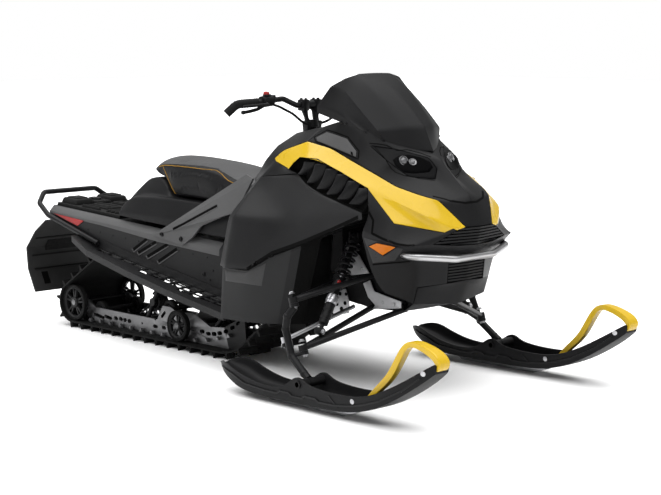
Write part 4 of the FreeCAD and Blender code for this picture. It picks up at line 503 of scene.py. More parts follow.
class Corners:
    """Corners of a form that several faces share, by the name of the point and its side."""

    def __init__(self, points):
        self.points = points
        self.index = {}
        self.places = []

    def at(self, name, side, sunk=None):
        """Number of the corner, which is made the first time; sunk is how far it is moved in."""
        x, y, z = self.points[name]
        key = (name, side if y else 0, sunk is not None)
        if key not in self.index:
            self.index[key] = len(self.places)
            inward = Vector((sunk[0], side * sunk[1] if y else 0, sunk[2])) if sunk else Vector()
            self.places.append((Vector((x, side * y, z)) - inward) * MM)
        return self.index[key]


def cage(points, panels, core, sharp=42, soft=9):
    """Both sides of a set of panels as one mesh: creased where panels meet and along the sharp edges."""
    corners = Corners(points)
    faces = []
    labels = []
    for number, facets in enumerate(panels.values()):
        for facet in facets:
            for side in SIDES:
                faces.append([corners.at(name, side) for name in facet.split()])
                labels.append(number)
    mesh = bpy.data.meshes.new("cage")
    mesh.from_pydata(corners.places, [], faces)
    mesh.polygons.foreach_set("material_index", labels)
    shape = editing(mesh)
    bmesh.ops.recalc_face_normals(shape, faces=shape.faces)
    centre = Vector(core) * MM
    outward = sum(face.normal.dot(face.calc_center_median() - centre) * face.calc_area() for face in shape.faces)
    if outward < 0:
        bmesh.ops.reverse_faces(shape, faces=shape.faces)
    shape.to_mesh(mesh)
    shape.normal_update()
    edge_crease = mesh.attributes.new("crease_edge", "FLOAT", "EDGE")
    point_crease = mesh.attributes.new("crease_vert", "FLOAT", "POINT")
    hard = {}
    for edge in shape.edges:
        value = 1.0
        if len(edge.link_faces) == 2:
            first, second = edge.link_faces
            if first.material_index == second.material_index:
                bend = math.degrees(first.normal.angle(second.normal, 0))
                value = min(1.0, max(0.0, (bend - soft) / (sharp - soft)))
        edge_crease.data[edge.index].value = value
        if value == 1.0:
            for corner in edge.verts:
                hard.setdefault(corner.index, []).append(edge.other_vert(corner).co - corner.co)
    for corner, runs in hard.items():
        on_side = abs(corners.places[corner].y) > 0.001
        if len(runs) == 2 and runs[0].angle(runs[1]) < math.radians(138) and on_side:
            point_crease.data[corner].value = 1.0
    shape.free()
    return mesh


def split(mesh, number, gap):
    """One panel of a subdivided cage, drawn in a little at its rim."""
    shape = editing(mesh)
    only_faces(shape, [number])
    moves = {}
    for corner in shape.verts:
        if corner.is_boundary:
            inside = sum((face.calc_center_median() for face in corner.link_faces), Vector()) / len(corner.link_faces)
            moves[corner] = (inside - corner.co).normalized() * gap
    for corner, step in moves.items():
        corner.co += step
    made = to_mesh(shape, "panel")
    for name in ("crease_edge", "crease_vert"):
        if name in made.attributes:
            made.attributes.remove(made.attributes[name])
    return made


def shell(name, mesh, thickness, rim):
    """A panel given its wall inwards and a rounded rim."""
    return smooth(with_modifiers(name, mesh, wall(thickness), bevel(rim, 55)), 28)


# Skin of the body: one subdivided cage over the same points as the solid panels.

PANEL_LOOKS = {
    "console": ("charcoal", "console"),
    "hood": ("hood", "hood"),
    "hood_flanks": ("yellow", "hood_flanks"),
    "side_panel": ("charcoal", "side_panel_right side_panel_left"),
    "lower_panel": ("lower", "lower_panel_right lower_panel_left"),
    "nose_cover": ("charcoal", "nose_cover"),
    "belly_pan": ("black", "belly_pan"),
    "headlamps": ("lamp_surround_and_shade", "headlamps"),
}
PANEL_WALL, PANEL_GAP, PANEL_RIM = 0.003, 0.0017, 0.0015
SCREEN_WALL, SCREEN_RIM = 0.0032, 0.0011
SHADE_LINER_INSET = 0.0055
SKIN_CORE, SCREEN_CORE = (560, 0, 600), (560, 0, 900)
# Painted shade in the suspension well: the cuts along x with the darker tone in front of each, and the slant and
# height of the cut planes
WELL_SHADE_TURNS = ((0.450, "black"), (0.490, "gap"))
WELL_NORMAL = (1, 0, -0.377)
WELL_HEIGHT = 0.267
REAR_FACING = -0.42


def extra_slot(piece, key):
    """Adds a material to a piece and says its slot."""
    piece.data.materials.append(MATERIALS[key].data)
    return len(piece.data.materials) - 1


def second_tone(piece, key, chosen):
    """Gives the faces that a rule picks a second material."""
    slot = extra_slot(piece, key)
    for face in piece.data.polygons:
        face.material_index = slot if chosen(face) else 0


def paint_well_shade(piece):
    """Cuts the lower panels where they turn in to the suspension; the parts in front get painted shade, darkest past
    the second cut.
    """
    normal = Vector(WELL_NORMAL).normalized()
    shape = editing(piece.data)
    for x, key in WELL_SHADE_TURNS:
        start = Vector((x, 0, WELL_HEIGHT))
        bmesh.ops.bisect_plane(shape, geom=shape.verts[:] + shape.edges[:] + shape.faces[:], dist=1e-6,
                               plane_co=start, plane_no=normal)
        slot = extra_slot(piece, key)
        for face in shape.faces:
            if (face.calc_center_median() - start).dot(normal) > 0:
                face.material_index = slot
    to_mesh(shape, piece.data)


def shade_liner(mesh, inset):
    """Near-black inner face behind the panels: painted shade inside their seams."""
    shape = editing(mesh)
    shape.normal_update()
    for corner, normal in [(one, one.normal.copy()) for one in shape.verts]:
        corner.co -= normal * inset
    only_faces(shape, [number for number, label in enumerate(PANELS) if label in PANEL_LOOKS])
    made = to_mesh(shape, "shade_liner")
    made.shade_smooth()
    return made


def make_skin():
    """Body panels that meet along common curves, with a thin gap between them."""
    whole = with_modifiers("skin", cage(SKIN, PANELS, SKIN_CORE), subdivided(3, boundary_smooth="PRESERVE_CORNERS"))
    made = []
    for number, label in enumerate(PANELS):
        if label not in PANEL_LOOKS:
            continue
        look, nodes = PANEL_LOOKS[label]
        piece = add(label + "_skin", shell(label, split(whole, number, PANEL_GAP), PANEL_WALL, PANEL_RIM), look)
        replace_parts(piece, *nodes.split())
        if label == "lower_panel":
            paint_well_shade(piece)
        if label == "side_panel":
            # Faces turned to the rear take the lighter edge tone: a painted highlight on the rear flange of the side
            # panels.
            second_tone(piece, "edge", lambda face: face.normal.x < REAR_FACING)
        made.append(piece)
    # A near-black sheet behind the panels paints the shade inside their seams and openings.
    add("skin_shade_liner", shade_liner(whole, SHADE_LINER_INSET), "gap")
    return made


def make_screen():
    """Windshield with a smooth crown and a crisp side facet."""
    mesh = with_modifiers("screen", cage(SCREEN, {"windshield": SCREEN_FACETS}, SCREEN_CORE, 30, 8),
                          subdivided(3, boundary_smooth="PRESERVE_CORNERS"))
    screen = add("windshield_screen", shell("windshield", split(mesh, 0, 0.0), SCREEN_WALL, SCREEN_RIM), "screen")
    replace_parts(screen, "windshield")
    return screen


SKINS = make_skin()
SCREEN_PIECE = make_screen()

# Finish of the solid model's own nodes.

NODE_MATERIALS = {
    "charcoal": "console hood nose_cover side_panel_right side_panel_left",
    "black": "nose_grilles belly_pan lower_panel_right lower_panel_left seat_base side_vents bar_controls skid_wheels"
             " ski_right ski_left",
    "yellow": "hood_flanks ski_loop_right ski_loop_left",
    "lens": "headlamps",
    "screen": "windshield",
    "sheet": "tunnel running_board_right running_board_left",
    "strip": "seat_braces",
    "tube": "rear_bumper front_arms spindle_right spindle_left steering_post handlebar front_shocks",
    "flap": "snow_flap",
    "rubber": "track grips control_cables rear_deck",
    "cover": "seat_cushion",
    "rail": "skid_frame",
    "engine": "engine bulkhead",
    "steel": "tie_rod_right tie_rod_left",
    "red": "tail_lights",
    "orange": "side_reflectors",
    "silver": "front_bumper",
}


def soften(name, width, angle=25, segments=3):
    """Rounds the edges of a node with a bevel."""
    obj = NODES[name]
    modify(obj, *bevel(width, angle, segments))
    for face in obj.data.polygons:
        face.use_smooth = True
    modify(obj, "WEIGHTED_NORMAL", {"keep_sharp": True})


for material_name, node_names in NODE_MATERIALS.items():
    for node_name in node_names.split():
        dress(NODES[node_name], material_name)

# Tools for pieces that follow a surface or a line.


def surface_of(*objs):
    """Search tree over the shown surface of some objects."""
    corners = []
    faces = []
    for obj in objs:
        mesh = settled(obj)
        start = len(corners)
        corners += [obj.matrix_world @ corner.co for corner in mesh.vertices]
        faces += [[start + spot for spot in face.vertices] for face in mesh.polygons]
        bpy.data.meshes.remove(mesh)
    return BVHTree.FromPolygons(corners, faces)


def spot_at(x, y, z):
    """A point given in millimetres."""
    return Vector((x, y, z)) * MM


def across(points, side):
    """Points in millimetres with their way out from the middle plane put on one side."""
    return [spot_at(x, side * y, z) for x, y, z in points]


def stepped(points, step):
    """Points along a line, no further apart than a step."""
    made = [points[0]]
    for first, second in zip(points, points[1:]):
        count = max(1, math.ceil((second - first).length / step))
        made += [first.lerp(second, index / count) for index in range(1, count + 1)]
    return made


def on_surface(tree, point, direction=None):
    """Nearest spot of a surface and its normal, or the one that a ray along a direction meets."""
    if direction is not None:
        hit, normal, _, _ = tree.ray_cast(point - direction * 0.3, direction)
        if hit is not None:
            return hit, normal if normal.dot(direction) < 0 else -normal
    hit, normal, _, _ = tree.find_nearest(point)
    if direction is not None and normal.dot(direction) > 0:
        normal = -normal
    return hit, normal


def tube_mesh(points, radius, sides=12, smooth_line=False):
    """Round tube along points."""
    data = bpy.data.curves.new("line", "CURVE")
    data.dimensions = "3D"
    data.bevel_depth = radius
    data.bevel_resolution = max(1, sides // 4)
    data.use_fill_caps = True
    spline = data.splines.new("NURBS" if smooth_line else "POLY")
    spline.points.add(len(points) - 1)
    for spot, point in zip(spline.points, points):
        spot.co = (*point, 1)
    if smooth_line:
        spline.order_u = 3
        spline.use_endpoint_u = True
        spline.resolution_u = 6
    mesh = with_modifiers("line", data)
    mesh.shade_smooth()
    return mesh


def ribbon_mesh(tree, points, width, lift, direction=None, step=0.006):
    """Flat strip that lies on a surface along a line."""
    spots = [on_surface(tree, point, direction) for point in stepped(points, step)]
    corners = []
    for index, (spot, normal) in enumerate(spots):
        before = spots[max(0, index - 1)][0]
        after = spots[min(len(spots) - 1, index + 1)][0]
        half = (after - before).cross(normal).normalized() * width / 2
        low, high = -normal * 0.001, normal * lift
        corners += [spot - half + low, spot - half + high, spot + half + high, spot + half + low]
    return mesh_of(corners, band_faces(len(spots), 4, closed=False))


def plate_mesh(tree, outline, lift, direction, step=0.012, edge=0.0012, depth=0.003):
    """A plate with that outline that lies on a surface, seen along a direction."""
    shape = bmesh.new()
    shape.faces.new([shape.verts.new(point) for point in stepped(outline + outline[:1], step)[:-1]])
    bmesh.ops.triangulate(shape, faces=shape.faces)
    for _ in range(3):
        long = [one for one in shape.edges if one.calc_length() > step * 1.6]
        if not long:
            break
        bmesh.ops.subdivide_edges(shape, edges=long, cuts=1)
        bmesh.ops.triangulate(shape, faces=shape.faces)
    for corner in shape.verts:
        spot, normal = on_surface(tree, corner.co, direction)
        corner.co = spot + normal * lift
    bmesh.ops.recalc_face_normals(shape, faces=shape.faces)
    if sum(face.normal.dot(-direction) for face in shape.faces) < 0:
        bmesh.ops.reverse_faces(shape, faces=shape.faces)
    return smooth(with_modifiers("plate", to_mesh(shape, "plate"), wall(depth), bevel(edge, 50)), 30)


def circle_about(axis):
    """The axis as a unit vector, and a function for the directions square to it at an angle."""
    axis = Vector(axis).normalized()
    side = axis.orthogonal().normalized()
    up = axis.cross(side)
    return axis, lambda turn: side * math.cos(turn) + up * math.sin(turn)


def lathe_mesh(profile, centre, axis, sides=32, looped=False):
    """A turned form: profile in millimetres along the axis and out from it, with flat ends unless it loops."""
    axis, outward = circle_about(axis)
    corners = [centre + (axis * along + outward(math.tau * index / sides) * radius) * MM
               for along, radius in profile for index in range(sides)]
    faces = band_faces(len(profile), sides, looped=looped)
    if not looped:
        faces += [list(range(sides)), list(range(len(corners) - sides, len(corners)))]
    return mesh_of(corners, faces, 30)


def bolt_mesh(centre, axis, radius, height):
    """Domed bolt head with a washer, in millimetres."""
    return lathe_mesh([(-1, radius * 1.35), (1, radius * 1.35), (1.1, radius), (height * 0.7, radius),
                       (height, radius * 0.72), (height, radius * 0.4), (height * 0.6, radius * 0.36)],
                      centre, axis, 16)


def hexagon_mesh(centre, axis, radius, height):
    """Hexagon nut or bolt head with a washer below it, in millimetres."""
    return joined([lathe_mesh([(0, radius * 1.35), (1.6, radius * 1.35)], centre, axis, 24),
                   lathe_mesh([(1.6, radius), (height * 0.85, radius), (height, radius * 0.86)], centre, axis, 6)])


def box_mesh(corners, round_edge):
    """A block through eight corners, four below and four above, with rounded edges."""
    faces = [[3, 2, 1, 0], [4, 5, 6, 7], [0, 1, 5, 4], [1, 2, 6, 5], [2, 3, 7, 6], [3, 0, 4, 7]]
    return smooth(with_modifiers("block", mesh_of(corners, faces), bevel(round_edge)), 30)


def loop_of(low_u, high_u, low_v, high_v):
    """The four corners of a rectangle, one after the other."""
    return (low_u, low_v), (high_u, low_v), (high_u, high_v), (low_u, high_v)


def block(lows, highs, round_edge):
    """A block between two opposite corners in millimetres."""
    corners = [spot_at(x, y, z) for z in (lows[2], highs[2])
               for x, y in loop_of(lows[0], highs[0], lows[1], highs[1])]
    return box_mesh(corners, round_edge)

# Seat.

CUSHION = (
    # x, bottom, piping line, shoulder and crown: way out and height.
    (-640, (84, 736), (104, 757), (76, 776), 783),
    (-600, (100, 734), (117, 771), (86, 797), 806),
    (-555, (114, 726), (127, 782), (92, 809), 820),
    (-520, (124, 700), (132, 785), (93, 810), 820),
    (-472, (134, 652), (138, 788), (94, 810), 819),
    (-432, (140, 651), (141, 789), (95, 809), 818),
    (-300, (146, 651), (147, 786), (96, 801), 810),
    (-190, (152, 649), (150, 775), (95, 790), 798),
    (-150, (154, 655), (151, 764), (95, 783), 790),
    (-95, (156, 673), (151, 745), (94, 762), 767),
    (-20, (158, 700), (150, 730), (92, 742), 745),
    (36, (150, 718), (140, 724), (90, 732), 735),
)
SEAT_BASE = (
    # x, foot, shoulder, ledge, foot of the hump and top edge: way out and height; the top is level across.
    (-797, (178, 549), (177, 560), (152, 592), (134, 600), (120, 606)),
    (-752, (186, 546), (185, 564), (158, 620), (128, 632), (98, 664)),
    (-706, (190, 543), (189, 566), (162, 634), (122, 642), (76, 712)),
    (-655, (193, 541), (192, 568), (164, 640), (124, 648), (90, 722)),
    (-600, (195, 538), (194, 568), (165, 643), (128, 651), (98, 726)),
    (-556, (195, 536), (194, 568), (165, 645), (132, 652), (108, 716)),
    (-520, (196, 534), (195, 568), (165, 646), (136, 652), (118, 688)),
    (-478, (196, 532), (195, 568), (165, 647), (148, 650), (134, 652)),
    (-436, (196, 530), (195, 566), (165, 647), (150, 648), (136, 649)),
    (-300, (196, 522), (195, 562), (166, 644), (152, 645), (140, 645)),
    (-180, (196, 516), (195, 560), (168, 641), (154, 643), (144, 643)),
    (-95, (195, 511), (194, 572), (170, 652), (158, 662), (148, 669)),
    (-20, (194, 507), (192, 596), (170, 676), (160, 690), (150, 698)),
    (88, (190, 501), (188, 640), (160, 726), (152, 732), (146, 737)),
)

PIPING = ((-640, 772), (-600, 776), (-555, 786), (-498, 790), (-432, 793), (-300, 793), (-200, 788), (-150, 774),
          (-95, 754), (-4, 735), (40, 727))
PIPING_LINE = ((-600, 118, 776), (-555, 128, 786), (-498, 136, 790), (-432, 142, 793), (-300, 140, 793),
               (-200, 124, 788), (-150, 132, 774), (-95, 148, 754), (-4, 150, 735))
PIPING_REAR = ((-565, 126, 784), (-545, 132, 745), (-520, 138, 712), (-492, 144, 680), (-462, 148, 656))
LOWER_SEAM = ((-462, 150, 664), (-300, 152, 660), (-180, 156, 658), (-20, 162, 712))
PRESSURE = 4.0
SWELL_LIMIT = 0.0055
CLOTH_FRAMES = 20


def section_cage(rows, creases):
    """Rings along X joined by quads, closed at both ends, with creases by their place in the ring."""
    count = len(rows[0])
    corners = [spot_at(*point) for ring in rows for point in ring]
    faces = band_faces(len(rows), count)
    faces += [list(range(count))[::-1], list(range(len(corners) - count, len(corners)))]
    mesh = plain_mesh(corners, faces, "sections")
    crease = mesh.attributes.new("crease_edge", "FLOAT", "EDGE")
    for edge in mesh.edges:
        first, second = sorted(edge.vertices)
        if first % count == second % count:
            crease.data[edge.index].value = creases[first % count]
        elif first // count in (0, len(rows) - 1):
            crease.data[edge.index].value = creases[-1]
    return mesh


def swell(mesh):
    """Pads a closed form out with a cloth simulation, no point further than a limit."""
    start = with_modifiers("pad", mesh, ("REMESH", {"mode": "VOXEL", "voxel_size": 0.0055}))
    holder = place_object("pad", start)
    cloth = holder.modifiers.new("cloth", "CLOTH")
    cloth.settings.use_pressure = True
    cloth.settings.uniform_pressure_force = PRESSURE
    cloth.settings.effector_weights.gravity = 0
    cloth.settings.quality = 6
    cloth.point_cache.frame_start = 1
    cloth.point_cache.frame_end = CLOTH_FRAMES
    for moment in range(1, CLOTH_FRAMES + 1):
        SCENE.frame_set(moment)
    made = settled(holder)
    for corner, first in zip(made.vertices, start.vertices):
        step = corner.co - first.co
        if step.length > SWELL_LIMIT:
            corner.co = first.co + step * (SWELL_LIMIT / step.length)
    bpy.data.objects.remove(holder)
    SCENE.frame_set(1)
    return with_modifiers("pad", made, subdivided(1))


def piping_height(x):
    """Height of the seam between the cushion's top and its sides at a place along it."""
    for (first, low), (last, high) in zip(PIPING, PIPING[1:]):
        if x <= last * MM:
            share = max(0, (x / MM - first) / (last - first))
            return (low + (high - low) * share) * MM
    return PIPING[-1][1] * MM


def make_cushion():
    """Padded cushion with a lighter top."""
    rings = []
    for x, (low, base), (edge, edge_height), (top, top_height), crown in CUSHION:
        half = [(low - 4, base + 2), (edge - 4, edge_height), (top - 2, top_height - 3)]
        rings.append([(x, -y, z) for y, z in half] + [(x, 0, crown - 3)] + [(x, y, z) for y, z in half[::-1]]
                     + [(x, 0, base + 2)])
    form = section_cage(rings, (0.75, 0.45, 0, 0, 0, 0.45, 0.75, 0, 0.5))
    form = with_modifiers("cushion", form, subdivided(3))
    mesh = swell(form)
    mesh.shade_smooth()
    cushion = add("cushion_pad", mesh, "cover")
    second_tone(cushion, "cover_top", lambda face: face.center.z > piping_height(face.center.x))
    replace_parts(cushion, "seat_cushion")
    return cushion


def make_seat_base():
    """Moulded base under the cushion."""
    rings = [[(x, -y, z) for y, z in half] + [(x, y, z) for y, z in half[::-1]] for x, *half in SEAT_BASE]
    mesh = section_cage(rings, (0.9, 0.5, 0.85, 0.5, 0.75, 0.75, 0.5, 0.85, 0.5, 0.9, 0.8))
    base = add("seat_base_form", smooth(with_modifiers("base", mesh, subdivided(3)), 40), "black")
    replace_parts(base, "seat_base")


def make_seams(cushion):
    """Piping, and a near-black ribbon that paints the shade in the lower seam of the cushion."""
    tree = surface_of(cushion)
    for side, word in SIDES.items():
        pipes = []
        for points in (PIPING_LINE, PIPING_REAR):
            spots = [on_surface(tree, point) for point in stepped(across(points, side), 0.02)]
            pipes.append(tube_mesh([spot + normal * 0.0002 for spot, normal in spots], 0.0012, 8, True))
        add(f"seat_piping_{word}", pipes, "thread")
        # Near-black ribbon: painted shade in the lower seam.
        add(f"seat_seam_{word}", ribbon_mesh(tree, across(LOWER_SEAM, side), 0.002, 0.0004), "gap")


CUSHION_PIECE = make_cushion()
make_seat_base()
make_seams(CUSHION_PIECE)

# Rear skid: wheels, rails, belt clips and springs.

WHEELS = (
    # centre, radius, width and number of double spokes
    ((-1150.6, 164.5, 115.6), 83.4, 25, 5),
    ((-800.1, 164.5, 375.6), 51.4, 25, 5),
    ((-411.7, 158.0, 99.6), 67.4, 25, 5),
    ((-532.9, 99.7, 152.4), 39.8, 25, 0),
    ((-1035.1, 99.7, 86.4), 39.8, 25, 0),
)
DRIVE_AXLE = (214.6, 0, 325.2)


def in_plane(turn):
    """A direction in the middle plane, and the one a quarter turn further."""
    return Vector((math.cos(turn), 0, math.sin(turn))), Vector((-math.sin(turn), 0, math.cos(turn)))


def spoke_mesh(centre, turn, inner, outer, width, depth):
    """One tapered wheel spoke in the wheel's plane, in millimetres."""
    out, side = in_plane(turn)
    corners = []
    for thick in (-depth / 2, depth / 2):
        for along, half in ((inner, -width), (outer, -width * 0.7), (outer, width * 0.7), (inner, width)):
            corners.append(centre + (out * along + side * half / 2 + ACROSS * thick) * MM)
    return box_mesh(corners, 0.001)


def make_wheel(centre, radius, width, spokes):
    """Tyre and disc of one idler wheel: a spoked disc, or a plain one for a small wheel."""
    half = width / 2
    rim = radius - 10

    def ring(profile):
        return lathe_mesh(profile, centre, ACROSS, 40, looped=True)

    tyre = ring([(-half, radius - 3), (-half + 3, radius), (half - 3, radius), (half, radius - 3), (half, rim),
                 (-half, rim)])
    parts = [
        ring([(-half + 2, rim), (half - 2, rim), (half - 1, rim - 4), (half - 6, rim - 11), (-half + 6, rim - 11),
              (-half + 1, rim - 4)]),
        lathe_mesh([(-half + 1, 11), (-half + 1, radius * 0.26), (-half + 4, radius * 0.30), (half - 4, radius * 0.30),
                    (half - 1, radius * 0.26), (half - 1, 11)], centre, ACROSS),
    ]
    for index in range(spokes):
        for lean in (-0.17, 0.17):
            turn = math.tau * index / spokes + 0.3 + lean
            parts.append(spoke_mesh(centre, turn, radius * 0.26, rim - 9, radius * 0.13, width * 0.45))
    if not spokes:
        parts.append(ring([(-4, rim - 6), (4, rim - 6), (4, radius * 0.28), (-4, radius * 0.28)]))
    return tyre, parts


def cross_tube(middle, reach, radius, sides=16):
    """Tube across the machine, to both sides of a point."""
    return tube_mesh([middle - ACROSS * reach, middle + ACROSS * reach], radius, sides)


def make_wheels():
    tyres, discs, caps, axles = [], [], [], []
    for (x, y, z), radius, width, spokes in WHEELS:
        for side in SIDES:
            centre = spot_at(x, side * y, z)
            tyre, parts = make_wheel(centre, radius, width, spokes)
            tyres.append(tyre)
            discs += parts
            caps.append(lathe_mesh([(-2, 13.5), (0.8, 13.5), (1.5, 12), (3.5, 7.5), (4.5, 3)],
                                   centre + ACROSS * side * width / 2 * MM, (0, side, 0), 24))
        axles.append(cross_tube(spot_at(x, 0, z), (y - 10) * MM, 0.011))
    middle = spot_at(*DRIVE_AXLE)
    axles.append(cross_tube(middle, 0.195, 0.0125))
    for y in (-70, 70):
        centre = middle + ACROSS * y * MM
        discs.append(lathe_mesh([(-22, 14), (-22, 60), (-18, 66), (18, 66), (22, 60), (22, 14)], centre, ACROSS, 24))
        for index in range(8):
            out, _ = in_plane(math.tau * index / 8)
            discs.append(cross_tube(centre + out * 0.069, 0.02, 0.0055, 8))
    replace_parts(add("skid_tyres", tyres, "rubber"), "skid_wheels")
    add("skid_discs", discs, "wheel")
    add("skid_wheel_caps", caps, "rail")
    add("skid_axles", axles, "tube")


make_wheels()

RAIL_HOLES = (
    # ends of each hole along the rail and half of its height
    ((-1054, 65), (-992, 57), 8), ((-978, 66), (-936, 61), 8), ((-904, 67), (-893, 66), 9),
    ((-867, 68), (-856, 67), 9), ((-837, 67), (-827, 67), 9), ((-805, 66), (-795, 66), 9), ((-708, 68), (-706, 68), 5),
    ((-614, 100), (-612, 108), 8), ((-622, 66), (-604, 66), 8), ((-562, 68), (-546, 68), 8),
    ((-566, 116), (-546, 136), 7), ((-300, 84), (-286, 86), 9), ((-260, 80), (-244, 81), 8),
    ((-222, 84), (-208, 85), 9), ((-186, 92), (-172, 94), 9), ((-146, 104), (-132, 108), 8),
    ((-104, 124), (-90, 130), 8), ((-68, 146), (-56, 154), 7),
)


def run_of(first, last):
    """Direction from one point of the middle plane to another, and the one a quarter turn further."""
    along = (last - first).normalized()
    return along, Vector((-along.z, 0, along.x))


def cutter_mesh(first, last, half, reach=0.14):
    """A slot's outline with round ends, as a bar right across the machine."""
    first, last = (spot_at(x, 0, z) for x, z in (first, last))
    along, up = run_of(first, last)
    ring = []
    for centre, start in ((last, -math.pi / 2), (first, math.pi / 2)):
        for step in range(7):
            turn = start + math.pi * step / 6
            ring.append(centre + (along * math.cos(turn) + up * math.sin(turn)) * half * MM)
    corners = [spot + ACROSS * out for out in (-reach, reach) for spot in ring]
    count = len(ring)
    faces = [list(range(count))[::-1], list(range(count, count * 2))]
    return mesh_of(corners, faces + band_faces(2, count))


def make_rails():
    """The solid model's skid frame with its holes cut and its two finishes."""
    holder = place_object("cutters", joined([cutter_mesh(*hole) for hole in RAIL_HOLES]))
    frame_mesh = NODES["skid_frame"].data.copy()
    frame_mesh.transform(NODES["skid_frame"].matrix_world)
    mesh = with_modifiers("rails", frame_mesh, ("BOOLEAN", {
        "object": holder, "operation": "DIFFERENCE", "solver": "EXACT"}))
    bpy.data.objects.remove(holder)
    rails = add("skid_rails", smooth(mesh, 30), "tube")
    second_tone(rails, "rail", lambda face: 0.1125 < abs(face.center.y) < 0.1255 and face.center.x < -0.16)
    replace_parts(rails, "skid_frame")


make_rails()

BELT_PATH = ((-1150, 0, 31.5), (-363, 0, 31.5), (-225, 0, 50), (-40, 0, 104))
PITCH = 0.075


def tapered_block(spot, along, up, side, half, rise, inner, outer):
    """One clip or lug on the belt, narrower at its top."""
    corners = []
    for lift, reach in ((0, half), (rise, half * 0.25)):
        for forward, out in loop_of(-reach, reach, inner, outer):
            corners.append(spot + along * forward + up * lift + ACROSS * side * out * MM)
    return box_mesh(corners, 0.0012)


def make_clips():
    """Guide clips along the inner face of the belt, and the drive lugs between them."""
    path = [spot_at(*point) for point in BELT_PATH]
    clips, lugs = [], []
    travel = 0.0
    for first, last in zip(path, path[1:]):
        length = (last - first).length
        along, up = run_of(first, last)
        while travel < length:
            spot = first + along * travel
            for side in SIDES:
                clips.append(tapered_block(spot, along, up, side, 0.012, 0.017, 129, 143))
                lugs.append(tapered_block(spot + along * PITCH / 2, along, up, side, 0.016, 0.020, 60, 88))
            travel += PITCH
        travel -= length
    add("belt_clips", clips, "rail")
    add("belt_drive_lugs", lugs, "rubber")


make_clips()


def coil_points(first, last, radius, turns, steps=16):
    """Points of a coil between two ends."""
    _, outward = circle_about(last - first)
    count = int(turns * steps)
    return [first.lerp(last, index / count) + outward(math.tau * turns * index / count) * radius
            for index in range(count + 1)]


def make_springs():
    """Coils on the skid's two dampers and the torsion springs beside the rear arm."""
    coils = []
    for low, high in (((-240, 0, 96), (-520, 0, 392)), ((-700, 0, 84), (-800, 0, 376))):
        low, high = spot_at(*low), spot_at(*high)
        coils.append(tube_mesh(coil_points(low.lerp(high, 0.32), low.lerp(high, 0.9), 0.030, 7), 0.0042, 8))
    for side in SIDES:
        start, end, upper, lower = across([(-652, 42, 168), (-652, 92, 168), (-812, 40, 330), (-742, 106, 106)], side)
        coils.append(tube_mesh([upper, *coil_points(start, end, 0.027, 4.5), lower], 0.0048, 8))
        coils.append(tube_mesh([start - ACROSS * side * 0.01, end + ACROSS * side * 0.02], 0.018, 16))
    add("skid_springs", coils, "tube")


make_springs()

# Front suspension: coil springs over the dampers, nuts and cast plates.

SHOCK_ENDS = ((671.6, 164.1, 584.4), (728.5, 414.8, 258))
DARK_TURNS = (
    # from and to as shares of the shock's length, then shares of that run with radii
    (0.045, 0.085, ((0, 14), (0.1, 25), (0.9, 25.5), (1, 12))),
    (0.08, 0.40, ((0, 12), (1, 12))),
    (0.455, 0.56, ((0, 14), (0.04, 24), (0.18, 25), (0.22, 20), (0.5, 19.5), (0.55, 22), (0.9, 22), (1, 14))),
    (0.555, 0.63, ((0, 15), (1, 15))),
    (0.72, 0.93, ((0, 16), (0.03, 19.5), (0.30, 19.5), (0.32, 18), (0.38, 18), (0.40, 19.5), (0.68, 19.5), (0.70, 18),
                  (0.76, 18), (0.78, 19.5), (0.97, 19), (1, 14))),
    (0.92, 0.99, ((0, 8), (1, 8))),
)
BRIGHT_TURNS = (
    (0.39, 0.47, ((0, 7), (1, 7))),
    (0.625, 0.725, ((0, 15), (0.05, 21), (0.2, 22.5), (0.28, 22.5), (0.3, 20.5), (0.4, 20.5), (0.42, 23.5),
                    (0.62, 23.5), (0.64, 20.5), (0.74, 20.5), (0.76, 22.5), (0.95, 21.5), (1, 15))),
)


def spring_damper(side):
    """One front shock along its own axis: dark parts with the coil, bright parts and the knob."""
    top, foot = across(SHOCK_ENDS, side)
    axis = (foot - top).normalized()
    length = (foot - top).length / MM

    def turned(start, end, profile):
        span = (end - start) * length
        return lathe_mesh([(share * span, radius) for share, radius in profile], top.lerp(foot, start), axis, 28)

    dark = [turned(*one) for one in DARK_TURNS]
    bright = [turned(*one) for one in BRIGHT_TURNS]
    dark.append(tube_mesh(coil_points(top.lerp(foot, 0.085), top.lerp(foot, 0.455), 0.0262, 6), 0.0042, 8))
    for spot, half in ((top, 16), (foot, 17)):
        dark.append(lathe_mesh([(-half, 6), (-half, 13), (-half * 0.8, 14.5), (half * 0.8, 14.5), (half, 13),
                                (half, 6)], spot, EAST, 24))
        bright.append(bolt_mesh(spot + EAST * 0.016, EAST, 7.8, 7))
    view = Vector((0.708, side * 0.694, 0.13)).normalized()
    out = (view - axis * view.dot(axis)).normalized()
    knob = lathe_mesh([(0, 7.5), (4, 7.2), (6, 4)], top.lerp(foot, 0.51) + out * 0.0205, out, 20)
    return dark, bright, [knob]


def make_dampers():
    dark, bright, knobs = (right + left for right, left in zip(spring_damper(-1), spring_damper(1)))
    body = add("damper_bodies", dark, "tube")
    add("damper_collars", bright, "steel")
    add("damper_knobs", knobs, "red")
    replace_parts(body, "front_shocks")


def make_joint_nuts():
    """Nuts above and below the kingpin eyes."""
    for side, word in SIDES.items():
        upper, lower = spot_at(676, 500.2, 378), spot_at(728.5, 500.2, 206.4)
        axis = (upper - lower).normalized()
        parts = []
        for spot in (upper, lower):
            for way in (-1, 1):
                place = spot + axis * way * 0.0245
                place.y *= side
                parts.append(hexagon_mesh(place, axis * way, 9.5, 8.5))
        add(f"kingpin_nuts_{word}", parts, "steel", f"spindle_{word}")


